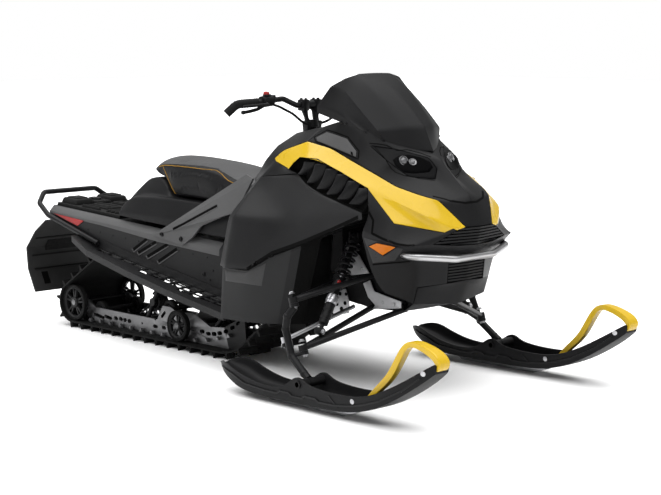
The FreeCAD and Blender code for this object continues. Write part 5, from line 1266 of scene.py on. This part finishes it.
CAST_SHEETS = (
    ((600, 544), (622, 549), (675, 512), (729, 448), (633, 430), (562, 458)),
    ((697, 406), (734, 422), (756, 382), (834, 368), (898, 358), (896, 333), (746, 312), (761, 329), (724, 356)),
    ((533, 351), (603, 375), (622, 324), (622, 281), (556, 265), (533, 270)),
)
CAST_BOLTS = ((648, 470, 7), (690, 462, 6), (640, 515, 6), (800, 345, 7), (860, 345, 6))
# Holes of the cast plates, shown as near-black discs of painted shade: along, height and radius
CAST_HOLES = ((554, 338, 5), (573, 352, 6), (557, 309, 6), (582, 293, 7), (601, 318, 6), (606, 354, 5))


def make_castings():
    """Cast plates that carry the upper and the lower arm, in front of the solid frame's walls, with near-black discs
    that paint the shade in their holes.
    """
    parts, dots = [], []
    for side in SIDES:
        for sheet in CAST_SHEETS:
            shape = bmesh.new()
            shape.faces.new([shape.verts.new(spot_at(x, side * 153.5, z)) for x, z in sheet])
            made = with_modifiers("casting", to_mesh(shape, "casting"), wall(0.005, 0.0), bevel(0.0016, 34.4))
            parts.append(smooth(made, 30))
        for group, spots, height in ((parts, CAST_BOLTS, 5), (dots, CAST_HOLES, 0.6)):
            for x, z, radius in spots:
                group.append(bolt_mesh(spot_at(x, side * 156, z), (0, side, 0), radius, height))
    add("cast_plates", parts, "cast")
    add("cast_holes", dots, "gap")


make_dampers()
make_joint_nuts()
make_castings()

# Tunnel, braces, deck and flap.

WALL_OUT = 200
GROOVES = (((-668, 407), (-568, 465)), ((-633, 397), (-506, 458)), ((-570, 386), (-424, 456)),
           ((-494, 372), (-364, 441)))
SIDE_RIVETS = ((-1010, 447), (-900, 425), (-790, 402), (-680, 378), (-570, 354), (-460, 331), (-350, 320),
               (-240, 300), (-150, 330), (-130, 372))


def tunnel_lines(x):
    """Top of the tunnel and the corner below its chamfer at a place along it, in millimetres."""
    top = 557 - 0.0552 * (x + 1291)
    return top, top - 25.4


def make_tunnel_strip():
    """Lighter band along the tunnel's chamfer and the top of its side."""
    meshes = []
    stations = [-1284 + 33.2 * index for index in range(37)]
    for side in SIDES:
        corners = []
        for x in stations:
            top, corner = tunnel_lines(x)
            drop = 13 + 15 * min(1, max(0, (x + 905) / 426))
            corners += across([(x, 200.9, corner - drop), (x, 200.9, corner + 0.2), (x, 175.5, top + 0.5)], side)
        mesh = mesh_of(corners, band_faces(len(stations), 3, closed=False), 20)
        if mesh.polygons[0].normal.y * side < 0:
            mesh.flip_normals()
        meshes.append(smooth(with_modifiers("strip", mesh, wall(0.0016), bevel(0.0005)), 25))
    add("tunnel_strip", meshes, "strip")


def flat_bar(side, ends, width, low, high):
    """Bar on the tunnel's side wall between two points of x and z, from one height off it to another."""
    first, last = (Vector((x, 0, z)) for x, z in ends)
    _, up = run_of(first, last)
    up *= width / 2
    corners = [(spot.x, WALL_OUT + out, spot.z) for out in (low, high)
               for spot in (first - up, last - up, last + up, first + up)]
    return box_mesh(across(corners, side), 0.0005)


def make_tunnel_side():
    """Slanted ribs and rivets of the tunnel's side walls: each rib drawn as a near-black bar of painted shade with
    lighter bars of painted highlight on its edges.
    """
    dark, light, rivets = [], [], []
    for side in SIDES:
        for groove in GROOVES:
            (x, z), _ = groove
            # Near-black bar of painted shade beside the rib, and lighter bars of painted highlight along its lower
            # side and across its end.
            dark.append(flat_bar(side, groove, 15, -0.3, 0.5))
            light.append(flat_bar(side, [(x + 6, z - 8) for x, z in groove], 4.6, -0.3, 3.2))
            light.append(flat_bar(side, ((x - 4, z + 7), (x + 8, z - 8)), 4.4, -0.3, 3.2))
        upper = [(x, tunnel_lines(x)[1] - 46) for x in range(-1180, -167, 92)]
        for spots, radius, height in ((upper, 3.2, 2.2), (SIDE_RIVETS, 4.2, 2.6), (((-190, 352),), 8.5, 6)):
            for x, z in spots:
                rivets.append(bolt_mesh(spot_at(x, side * WALL_OUT, z), (0, side, 0), radius, height))
    add("tunnel_groove_shade", dark, "gap")
    add("tunnel_rib_highlights", light, "strip")
    add("tunnel_rivets", rivets, "tube")


make_tunnel_strip()
make_tunnel_side()

BRACE_BOLTS = ((-450, 212, 498), (-323, 211, 488))
BRACE_SLOT = ((-367, 230, 527), (-300, 232, 553), (-60, 240, 652))
BRACE_SLOT_HIGHLIGHT = ((-360, 230, 522), (-298, 232, 546), (-56, 240, 646))

soften("seat_braces", 0.0025)


def make_brace_parts():
    """Bolts of the seat braces, and their long pressed slot drawn as a near-black strip of painted shade with a
    lighter strip of painted highlight along its lower edge.
    """
    tree = surface_of(NODES["seat_braces"])
    bolts, slots, edges = [], [], []
    for side in SIDES:
        outward = ACROSS * side
        for spot in across(BRACE_BOLTS, side):
            bolts.append(lathe_mesh([(-1, 11.5), (1.2, 11.5), (1.8, 10.5)], spot, outward, 24))
            bolts.append(lathe_mesh([(1.8, 7.8), (6, 7.8), (7.2, 6.6), (7.2, 4.2), (4, 4.2)], spot, outward, 20))
        # Near-black strip: painted shade in the slot; the lighter strip beside it is a painted highlight on its edge.
        slots.append(ribbon_mesh(tree, across(BRACE_SLOT, side), 0.010, 0.0006, -outward))
        edges.append(ribbon_mesh(tree, across(BRACE_SLOT_HIGHLIGHT, side), 0.0032, 0.0016, -outward))
    add("brace_bolts", bolts, "tube")
    add("brace_slots", slots, "gap")
    add("brace_slot_highlights", edges, "strip")


make_brace_parts()

DECK_PADS = (
    # from and to along the deck, then out from its middle; rise, taper, round edge
    (-1272, -1150, 44, 150, 24, 9, 0.007), (-1252, -1172, 58, 136, 29, 6, 0.004),
    (-1118, -968, 24, 88, 10, 6, 0.004), (-1118, -968, 100, 112, 8, 3, 0.002),
    (-1110, -975, 138, 152, 12, 4, 0.003), (-1272, -1135, 0, 42, 12, 4, 0.003),
    (-930, -912, 20, 150, 9, 4, 0.003), (-900, -882, 20, 150, 9, 4, 0.003),
    (-870, -852, 20, 150, 9, 4, 0.003), (-840, -822, 20, 150, 9, 4, 0.003),
)
DECK_SLOPE = 0.0548
CAP_AT = -1206


def deck_top(x):
    return 570.5 - DECK_SLOPE * (x + 1276)


def pad(side, back, front, inner, outer, rise, taper, round_edge, start=-2):
    """Raised pad on the deck between two places along and across."""
    corners = [(x, y, deck_top(x) + lift) for lift, inset in ((start, 0), (rise, taper))
               for x, y in loop_of(back + inset, front - inset, inner + inset, outer - inset)]
    return box_mesh(across(corners, side), round_edge)


def make_deck_parts():
    """Raised pads, cross ribs, slots as near-black bars of painted shade, and the round cap of the rear deck."""
    parts, lines = [], []
    for side in SIDES:
        parts += [pad(side, *row) for row in DECK_PADS]
        # Near-black bars: painted shade in the slots.
        lines += [pad(side, x, x + 16, 32, 80, 10.6, 0, 0.0004, 9.4) for x in (-1090, -1048, -1006)]
    ring = lathe_mesh([(0, 27), (7, 27), (8.5, 25.5), (8.5, 21), (7, 20), (7, 2)],
                      spot_at(CAP_AT, 0, deck_top(CAP_AT) + 11), (DECK_SLOPE, 0, 1), 40)
    add("deck_pads", parts, "rubber")
    add("deck_cap", ring, "wheel")
    add("deck_slots", lines, "gap")


make_deck_parts()
soften("rear_deck", 0.003)

FLAP_RIBS = ((306, 196), (241, 190), (392, 200))


def make_flap_parts():
    """Ribs, the bare raised field and the two slots of the snow flap, on both its faces; the slots are near-black
    plates of painted shade.
    """
    tree = surface_of(NODES["snow_flap"])
    ribs, slots = [], []
    for face, lift in ((-1, 0.0005), (1, 0.0035)):
        direction = EAST * -face

        def before(x, spots):
            """Points off this face, where the rays towards it start."""
            return [Vector((x + 0.05 * face, y * MM, z * MM)) for y, z in spots]

        for z, half in FLAP_RIBS:
            ribs.append(ribbon_mesh(tree, before(-1.44, ((-half, z), (half, z))), 0.007, lift, direction, 0.02))
        # Near-black plates: painted shade in the two slots.
        for y in (-140, 140):
            slot = before(-1.43, loop_of(y - 17, y + 17, 172, 226))
            slots.append(plate_mesh(tree, slot, 0.0012, direction, 0.02, 0.0005, 0.0014))
        field = before(-1.43, loop_of(-120, 120, 324, 376))
        ribs.append(plate_mesh(tree, field, lift * 0.7, direction, 0.02, 0.0008))
    add("flap_ribs", ribs, "rubber")
    add("flap_slots", slots, "gap")


make_flap_parts()

SKIRT_LINE = ((-1000, 421), (-883, 402), (-591, 349), (-409, 323.5), (-100, 272), (100, 239))


def make_skirts():
    """Dark strips under the tunnel's sides, down to the running boards."""
    strips = []
    for side in SIDES:
        for (back, high), (front, low) in zip(SKIRT_LINE, SKIRT_LINE[1:]):
            corners = [(x, y, z) for y in (WALL_OUT, WALL_OUT + 2.4)
                       for x, z in ((back, high - 20), (front, low - 20), (front, low + 30), (back, high + 30))]
            strips.append(box_mesh(across(corners, side), 0))
    add("tunnel_skirts", strips, "sheet")


make_skirts()

# Details of the hood, the nose and the side vents.

LOOK = {side: Vector((-x, side * y, -z)) for x, y, z in CAMERA_AXES[2:] for side in SIDES}
SKIN_TREE = surface_of(*SKINS)


def recess_mesh(facets, depth):
    """Back of an opening: the facets set in along a direction, with walls out to their border."""
    corners = Corners(SKIN)
    faces = []
    edges = {}
    for facet in facets:
        names = facet.split()
        for side in SIDES:
            faces.append([corners.at(name, side, depth) for name in names])
            for first, second in zip(names, names[1:] + names[:1]):
                edges.setdefault((frozenset((first, second)), side), []).append((first, second))
    for (pair, side), uses in edges.items():
        if len(uses) == 1 and any(SKIN[name][1] for name in pair):
            first, second = uses[0]
            faces.append([corners.at(first, side, depth), corners.at(first, side), corners.at(second, side),
                          corners.at(second, side, depth)])
    return smooth(with_modifiers("recess", mesh_of(corners.places, faces), wall(0.002, 0.0)), 30)


def facet_tree(facets):
    """Search tree over flat facets of the skin, both sides."""
    corners = []
    faces = []
    for facet in facets:
        for side in SIDES:
            start = len(corners)
            corners += across([SKIN[name] for name in facet.split()], side)
            faces.append(list(range(start, len(corners))))
    return BVHTree.FromPolygons(corners, faces)


def slat_mesh(tree, height, rise=0.0075, depth=0.012):
    """One level slat across an opening in the nose, along its curved front."""
    section = ((0.0015, rise * 0.15), (0.0005, rise * 0.5), (depth, rise * 0.9), (depth, rise * 0.1),
               (0.0015, -rise * 0.4))
    count = len(section)
    runs = [[]]
    for step in range(-210, 211, 5):
        hit = tree.ray_cast(Vector((2, step * MM, height)), WEST)[0]
        if hit is not None:
            runs[-1].append(hit)
        elif runs[-1]:
            runs.append([])
    meshes = []
    for run in runs:
        if len(run) < 3:
            continue
        corners = [spot + Vector((-back, 0, lift)) for spot in run for back, lift in section]
        faces = band_faces(len(run), count)
        faces += [list(range(count)), list(range(len(corners) - count, len(corners)))]
        meshes.append(mesh_of(corners, faces, 40))
    return meshes


def make_grilles():
    """Slats in the two openings of the nose, in front of near-black backs that paint the shade inside the openings."""
    backs, slats = [], []
    for facet, low, high, count in zip(PANELS["nose_grilles"], (588, 450), (645, 516), (6, 7)):
        # Near-black back: painted shade inside the opening.
        backs.append(recess_mesh([facet], (16, 0, 0)))
        tree = facet_tree([facet])
        for index in range(count):
            slats += slat_mesh(tree, (low + (high - low) * index / (count - 1)) * MM)
    grille = add("nose_slats", slats, "black")
    add("nose_grille_shade_backs", backs, "gap")
    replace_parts(grille, "nose_grilles")


make_grilles()

FINS = (
    # top and bottom of each louvre
    ((508, 269, 866), (462, 262, 812)), ((574, 274, 862), (532, 279, 786)), ((640, 281, 848), (600, 293, 768)),
    ((706, 289, 832), (666, 306, 754)), ((772, 297, 812), (736, 318, 742)), ((834, 303, 790), (806, 326, 730)),
)
FIN_ROWS = 9


def make_vents():
    """Curved louvres between the yellow flank and the side panel, in front of a near-black back that paints the shade
    inside the vents.
    """
    blades = []
    for side in SIDES:
        for top, bottom in FINS:
            corners = []
            for row in range(FIN_ROWS):
                share = row / (FIN_ROWS - 1)
                bulge = math.sin(math.pi * share)
                x, y, z = Vector(top).lerp(Vector(bottom), share)
                corners += across([(x + 10 * bulge + forward, y + out, z) for forward, out in (
                    (-16, 1 + 2 * bulge), (-6, 3 + 4 * bulge), (8, 1 + 3 * bulge), (22, -6), (36, -17))], side)
            blade = mesh_of(corners, band_faces(FIN_ROWS, 5, closed=False))
            blades.append(smooth(with_modifiers("blade", blade, wall(0.0035, 0.0), subdivided(1)), 40))
    louvres = add("vent_louvres", blades, "tube")
    # Near-black back: painted shade inside the vents.
    add("vent_shade_backs", recess_mesh(PANELS["side_vents"], (0, 24, 0)), "gap")
    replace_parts(louvres, "side_vents")


make_vents()

LAMP_OUTLINE = ((842, 148, 884), (846, 122, 898), (870, 94, 902), (902, 62, 893), (934, 42, 876), (942, 36, 856),
                (930, 44, 838), (906, 98, 834), (884, 130, 838), (858, 150, 862))
LARGE_RING = ((-6, 19.5), (3, 19.5), (4.2, 18.5), (4.2, 17), (1.4, 15), (0.8, 4))
LARGE_GLASS = ((0.6, 13.5), (4, 12.5), (6.6, 9.5), (8, 5), (8.4, 1))
SMALL_RING = ((-6, 15), (2, 15), (2.8, 14), (1.2, 11), (0.8, 3))
SMALL_GLASS = ((0.6, 9.5), (3.2, 8.5), (4.6, 5), (5, 1))


def make_lamps():
    """Glossy lens of each headlamp with two projectors, each behind a bright ring."""
    lenses, rings, glasses = [], [], []
    for side in SIDES:
        lenses.append(plate_mesh(SKIN_TREE, across(LAMP_OUTLINE, side), 0.0016, LOOK[side], depth=0.004))
        spot, normal = on_surface(SKIN_TREE, spot_at(860, side * 110, 878), LOOK[side])
        start = spot + normal * 0.0012
        axis = (normal + EAST * 0.6).normalized()
        rings.append(lathe_mesh(LARGE_RING, start, axis, 40))
        glasses.append(lathe_mesh(LARGE_GLASS, start, axis, 40))
        spot, normal = on_surface(SKIN_TREE, start + spot_at(25, side * -23, -4), LOOK[side])
        beside = spot + normal * 0.0012
        rings.append(lathe_mesh(SMALL_RING, beside, normal, 32))
        glasses.append(lathe_mesh(SMALL_GLASS, beside, normal, 32))
    add("lamp_lenses", lenses, "lens")
    add("lamp_rings", rings, "rail")
    add("lamp_glasses", glasses, "glass")


make_lamps()

HOOD_SHADE_LINES = (
    # near-black ribbons of painted shade, each width and lift, then points: frame of the shoulder cover and a short
    # seam beside it
    (0.0048, 0.0004, ((474, 198, 955), (534, 187, 984), (674, 214, 965), (738, 220, 916), (743, 230, 887),
                      (706, 233, 896), (501, 216, 940), (474, 198, 955))),
    (0.0040, 0.0008, ((584, 225, 931), (607, 217, 966))),
    # brow and lip of the headlamp pod, as lines of painted shadow under them
    (0.0042, 0.0004, ((767, 195, 945), (790, 173, 943), (813, 152, 938), (847, 131, 919), (865, 92, 921),
                      (895, 55, 909), (926, 29, 894))),
    (0.0030, 0.0004, ((780, 188, 938), (837, 190, 897), (877, 190, 856), (886, 176, 842), (909, 157, 832),
                      (942, 105, 818), (969, 56, 811))),
    # cheek, painted shadow under the undercut of the side panel, and foot of the panel around the reflector
    (0.0085, 0.0004, ((879, 312, 706), (908, 318, 678), (911, 328, 632), (962, 322, 615), (1016, 308, 601),
                      (1049, 289, 597), (1066, 268, 597))),
    (0.0150, 0.0004, ((345, 430, 452), (402, 424, 487), (468, 415, 525), (558, 405, 557), (634, 395, 586),
                      (743, 376, 633), (834, 353, 676), (858, 346, 688))),
    (0.0055, 0.0004, ((897, 310, 514), (968, 266, 524), (1016, 237, 530))),
)
# Painted shade in the seam across the nose, and painted shadow along the undercut of the side panel
NOSE_SEAM = ((1036, 140, 762), (1060, 112, 752), (1081, 89, 745), (1100, 34, 735), (1103.5, 0, 735))
UNDERCUT = ((222, 434, 440), (337, 432, 446), (463, 421, 512), (748, 381, 622), (868, 352, 676))
HOOD_PLATES = (
    # piece, outline, lift, longest edge, rim and depth: shoulder cover, in the lighter strip tone as a painted
    # highlight of its upturned face, and its near-black mark
    ("shoulder_covers", ((488, 200, 953), (538, 192, 976), (670, 216, 958), (726, 222, 914), (730, 229, 895),
                         (702, 230, 902), (508, 214, 943)), 0.0014, 0.012, 0.0008, 0.003),
    ("hood_seam_shade", ((706, 231, 903), (718, 231, 898), (716, 230, 910), (706, 230, 914)),
     0.0024, 0.006, 0.0004, 0.0015),
    # reflector with its rim, then lighter plates on the flange of the lower panel and on the panel around the
    # reflector, a painted highlight of their lit facets
    ("reflector_rims", ((884, 323, 582), (925, 319, 602), (1012, 293, 590), (938, 294, 546)),
     0.0010, 0.010, 0.0006, 0.003),
    ("reflector_lenses", ((892, 322, 582), (927, 318, 597), (1000, 297, 588), (937, 297, 552)),
     0.0036, 0.010, 0.0012, 0.004),
    ("lit_facet_plates", ((194, 412, 430), (322, 420, 433), (431, 412, 482), (393, 401, 388), (194, 411, 388)),
     0.0006, 0.012, 0.0004, 0.003),
    ("lit_facet_plates", ((871, 330, 613), (960, 316, 598), (1022, 282, 580), (970, 268, 532), (899, 310, 520)),
     0.0006, 0.012, 0.0004, 0.003),
)
# Tones of the pieces: near-black for painted shade, the lighter strip and edge tones for painted highlights on the
# shoulder covers and the lit facet plates
HOOD_LOOKS = {"hood_seam_shade": "gap", "shoulder_covers": "strip", "lit_facet_plates": "edge", "reflector_rims": "black",
              "reflector_lenses": "orange", "screen_screws": "tube"}
SCREEN_SCREWS = ((629, 206, 1019), (653, 204, 1013), (742, 192, 985), (800, 158, 952))


def make_hood_lines():
    """Near-black ribbons of painted shade and shadow along the seams, the brow and the undercut; the shoulder cover
    with its frame, lighter as a painted highlight; the reflectors; lighter plates of painted lit facets; and the
    screws of the windshield.
    """
    groups = {name: [] for name in HOOD_LOOKS}
    screen_tree = surface_of(SCREEN_PIECE)
    for side in SIDES:
        seams = [(width, lift, points, LOOK[side]) for width, lift, points in HOOD_SHADE_LINES]
        seams.append((0.0085, 0.0004, NOSE_SEAM, Vector((-0.62, 0, -0.78))))
        seams.append((0.0095, 0.0003, UNDERCUT, Vector((0, -side, 0.1)).normalized()))
        for width, lift, points, direction in seams:
            groups["hood_seam_shade"].append(ribbon_mesh(SKIN_TREE, across(points, side), width, lift, direction))
        for name, outline, lift, step, rim, depth in HOOD_PLATES:
            plate = plate_mesh(SKIN_TREE, across(outline, side), lift, LOOK[side], step, rim, depth)
            groups[name].append(plate)
        for place in across(SCREEN_SCREWS, side):
            groups["screen_screws"].append(bolt_mesh(*on_surface(screen_tree, place), 5.5, 3.5))
    pieces = {name: add(name, groups[name], look) for name, look in HOOD_LOOKS.items()}
    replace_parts(pieces["reflector_lenses"], "side_reflectors")


make_hood_lines()

# Skis with their loops and bolts.

SKI = (
    # x, underside of the floor, top of the wall, half widths below and above
    (340, 92, 112, 24, 31), (372, 76, 122, 44, 51), (410, 62, 122, 57, 66), (450, 44, 108, 61, 71),
    (502, 28, 90, 64, 71), (600, 24, 69, 64, 71), (730, 24, 69, 64, 71), (788, 24, 126, 64, 71),
    (832, 24, 126, 64, 71), (861, 25, 102, 64, 71), (960, 26, 94, 64, 71), (1060, 33, 94, 64, 71),
    (1130, 48, 102, 63.5, 71), (1210, 76, 128, 61, 70), (1310, 130, 178, 58, 66), (1400, 189, 232, 51, 58),
    (1445, 225, 260, 37, 44),
)
LOOP = (
    # x, height, half width and how far the band reaches inwards
    (1077, 46, 14, 7), (1104, 84, 14, 12), (1150, 132, 14, 17), (1207, 182, 15, 20), (1240, 238, 16, 20),
    (1272, 290, 16, 18), (1299, 311, 17, 16), (1334, 316, 19, 16), (1386, 304, 22, 17), (1434, 286, 26, 19),
    (1454, 264, 27, 20), (1453, 246, 27, 18), (1434, 230, 27, 12),
)
STANCE = 538.5
MARGIN = 2.6
LEDGES = (
    ((372, 100), (450, 84), (520, 58), (640, 50), (700, 50)), ((700, 50), (716, 60), (760, 60), (776, 50)),
    ((776, 50), (830, 50), (844, 60), (900, 60), (916, 50), (1000, 52), (1076, 62)),
    ((1076, 62), (1130, 74), (1210, 100), (1310, 150), (1392, 206)),
)


def ski_form(side):
    rings = []
    for x, base, top, low, wide in SKI:
        low, wide = low - MARGIN, wide - MARGIN
        ring = [(-low, base), (low, base), (wide, top), (wide - 7, top), (low - 8, base + 12), (8 - low, base + 12),
                (7 - wide, top), (-wide, top)]
        rings.append([(x, side * STANCE + y, z) for y, z in ring])
    form = section_cage(rings, (0.75, 0.75, 0.85, 0.85, 0.3, 0.3, 0.85, 0.85, 0.9))
    return smooth(with_modifiers("ski", form, subdivided(2)), 38)


def loop_form(side):
    rings = []
    spots = [Vector((x, 0, z)) for x, z, _, _ in LOOP]
    for index, (_, _, wide, inward) in enumerate(LOOP):
        _, rise = run_of(spots[max(0, index - 1)], spots[min(len(spots) - 1, index + 1)])
        outer = spots[index] + rise * 5
        inner = spots[index] - rise * inward
        rings.append([(spot.x, side * STANCE + out, spot.z) for spot, out in (
            (inner, -wide), (inner, wide), (outer, wide), (outer, -wide))])
    form = section_cage(rings, (0.55, 0.55, 0.55, 0.55, 0.6))
    return smooth(with_modifiers("loop", form, subdivided(3)), 50)


def make_skis():
    """Skis with their keels, pivots, bolts, ledges and loops."""
    for side, word in SIDES.items():
        body = f"ski_{word}"
        middle = side * STANCE
        ski = add(f"ski_form_{word}", ski_form(side), "black", body)
        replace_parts(ski, body)
        tree = surface_of(ski)
        keel = [spot_at(x, middle + y, z) for z, ends in ((1.5, (604, 982)), (27, (566, 1058)))
                for x, y in loop_of(*ends, -12, 12)]
        pivot = spot_at(810, middle, 98)
        dark, bright, ledges = [], [], []
        for way in (-1, 1):
            def beside(points):
                return [spot_at(x, middle + way * 80, z) for x, z in points]

            out = ACROSS * way
            dark.append(lathe_mesh([(16, 16.5), (62, 16.5)], pivot, out, 28))
            dark.append(hexagon_mesh(pivot + out * 0.0698, out, 11, 0.9))
            for spot in beside(((1086, 80), (1404, 224))):
                bright.append(bolt_mesh(*on_surface(tree, spot, -out), 7, 2.2))
            for line in LEDGES:
                ledges.append(ribbon_mesh(tree, beside(line), 0.0060, 0.0042, -out))
            ledges.append(ribbon_mesh(tree, beside(((968, 84), (1010, 46))), 0.0042, 0.0026, -out))
        add(f"ski_keel_{word}", box_mesh(keel, 0.003), "steel", body)
        add(f"ski_pivot_{word}", dark, "tube", body)
        add(f"ski_bolts_{word}", bright, "steel", body)
        add(f"ski_ledges_{word}", ledges, "wheel", body)
        loop = add(f"ski_loop_form_{word}", loop_form(side), "yellow", body)
        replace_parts(loop, f"ski_loop_{word}")


make_skis()

# Handlebar: grips, control blocks, clamps and the steering post's cover.

GRIP_LINE = ((258, 296, 1083.4), (214.6, 364.2, 1077.6), (193, 395, 1043))
LEVER = ((258, 262, 1070), (254, 296, 1056), (256, 336, 1050), (256, 368, 1047))
CONTROL_BLOCKS = (
    # from and to along the bar, half width, bottom and top
    (-22, 22, 17, -10, 12), (-14, 12, 12, 2, 24), (-40, -20, 12, -4, 18),
)
RISER_PLATES = (
    # bottom, top, from and to across the bar: a plate with a window
    (992, 1006, -36, 36), (1048, 1062, -36, 36), (1006, 1048, -36, -20), (1006, 1048, 10, 36),
)


def make_bar_sides():
    """Ribbed grips and the control blocks with their buttons and levers."""
    grip_tree = surface_of(NODES["grips"])
    ribs, blocks, buttons = [], [], []
    for side in SIDES:
        line = stepped(across(GRIP_LINE, side), 0.011)
        for spot, ahead in zip(line, line[1:]):
            distance = grip_tree.find_nearest(spot)[3]
            if distance is not None and distance < 0.03:
                ribs.append(lathe_mesh([(-1.4, 15.8), (-1, 17.8), (1, 17.8), (1.4, 15.8)], spot, ahead - spot, 20,
                                       looped=True))
        middle = spot_at(263, side * 250, 1090)
        way = Vector((4, side * 50, -4)).normalized()
        for back, front, reach, bottom, top in CONTROL_BLOCKS:
            corners = [middle + (way * along + EAST * out + UPWARD * rise) * MM for rise in (bottom, top)
                       for along, out in ((back, -reach), (front, -reach), (front, reach), (back, reach))]
            blocks.append(box_mesh(corners, 0.003))
        centre = middle + UPWARD * 0.023 + way * 0.004
        kind = buttons if side < 0 else blocks
        kind.append(lathe_mesh([(0, 12.5), (8, 12.5), (11.5, 9.5), (13, 3)], centre, UPWARD, 24))
        blocks.append(lathe_mesh([(-4, 15), (0.5, 15), (1.2, 13.8)], centre, UPWARD, 24))
        lever = stepped(across(LEVER, side), 0.012)
        blocks.append(tube_mesh(lever, 0.0068, 12, True))
        blocks.append(lathe_mesh([(-8, 3), (-6, 7.5), (0, 9.2), (6, 7.5), (8, 3)], lever[-1], UPWARD, 20))
    add("grip_ribs", ribs, "rubber", "handlebar")
    add("bar_blocks", blocks, "black", "handlebar")
    add("bar_button", buttons, "red", "handlebar")


def make_clamps():
    """Riser plate with its window, the two clamps of the bar and the cover of the post."""
    clamps = []
    for low, high, first, last in RISER_PLATES:
        corners = [spot_at(266 - 0.2 * (z - 946) + x, y, z) for z in (low, high)
                   for x, y in loop_of(-6, 6, first, last)]
        clamps.append(box_mesh(corners, 0.0015))
    for y in (-34, 34):
        clamps.append(block((222, y - 15, 1042), (262, y + 15, 1087), 0.004))
        for x in (229, 255):
            clamps.append(hexagon_mesh(spot_at(x, y, 1087), UPWARD, 5.5, 6))
    cover = [spot_at(x, y, z) for z, wide in ((946, 36), (1002, 43)) for x, y in loop_of(240, 272, -wide, wide)]
    clamps.append(box_mesh(cover, 0.004))
    add("bar_clamps", clamps, "tube", "handlebar")


make_bar_sides()
make_clamps()
for node_name in ("front_arms", "spindle_right", "spindle_left", "steering_post", "tunnel", "rear_bumper"):
    soften(node_name, 0.0015, 30, 2)

# Floor, backdrop and light.

FLOOR_SIZE = 30
SKY = ((0.0, 1.0), (0.07, 1.0), (0.2, 0.3), (1.0, 0.5))
SUN_TURN, SUN_POWER, SUN_SPREAD = (5, -4, 0), 4.9, 96
KEY_PLACE, KEY_AIM, KEY_POWER, KEY_SIZE = (-1.5, -4.2, 4.2), (0, 0, 0.5), 30, 3.0


def make_floor():
    grid = bmesh.new()
    bmesh.ops.create_grid(grid, x_segments=1, y_segments=1, size=FLOOR_SIZE)
    floor = place_object("floor", to_mesh(grid, "floor"))
    pale = Material("floor", (0.93, 0.93, 0.93), 0.9)
    pale.vary((0.92, 0.92, 0.92), (0.94, 0.94, 0.94), 0.5)
    pale.set(SPECULAR, 0.0)
    floor.data.materials.append(pale.data)
    floor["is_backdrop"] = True


def make_sky():
    world = bpy.data.worlds.new("studio")
    world.use_nodes = True
    tree = world.node_tree
    place = tree.nodes.new("ShaderNodeTexCoord").outputs["Generated"]
    parts = tree.nodes.new("ShaderNodeSeparateXYZ")
    ramp = tree.nodes.new("ShaderNodeValToRGB")
    fill_ramp(ramp.color_ramp, [(spot, (light, light, light)) for spot, light in SKY])
    tree.links.new(place, parts.inputs["Vector"])
    tree.links.new(parts.outputs["Z"], ramp.inputs["Fac"])
    tree.links.new(ramp.outputs["Color"], tree.nodes["Background"].inputs["Color"])
    SCENE.world = world
    SCENE.view_settings.view_transform = "Standard"


def make_lights():
    """A wide soft sun from above and one soft key light."""
    sun = bpy.data.lights.new("sun", "SUN")
    sun.energy = SUN_POWER
    sun.angle = math.radians(SUN_SPREAD)
    place_object("sun", sun).rotation_euler = [math.radians(one) for one in SUN_TURN]
    key = bpy.data.lights.new("key", "AREA")
    key.shape = "RECTANGLE"
    key.size = key.size_y = KEY_SIZE
    key.energy = KEY_POWER
    lamp = place_object("key", key)
    lamp.location = KEY_PLACE
    lamp.rotation_euler = (Vector(KEY_AIM) - Vector(KEY_PLACE)).to_track_quat("-Z", "Y").to_euler()


make_floor()
make_sky()
make_lights()
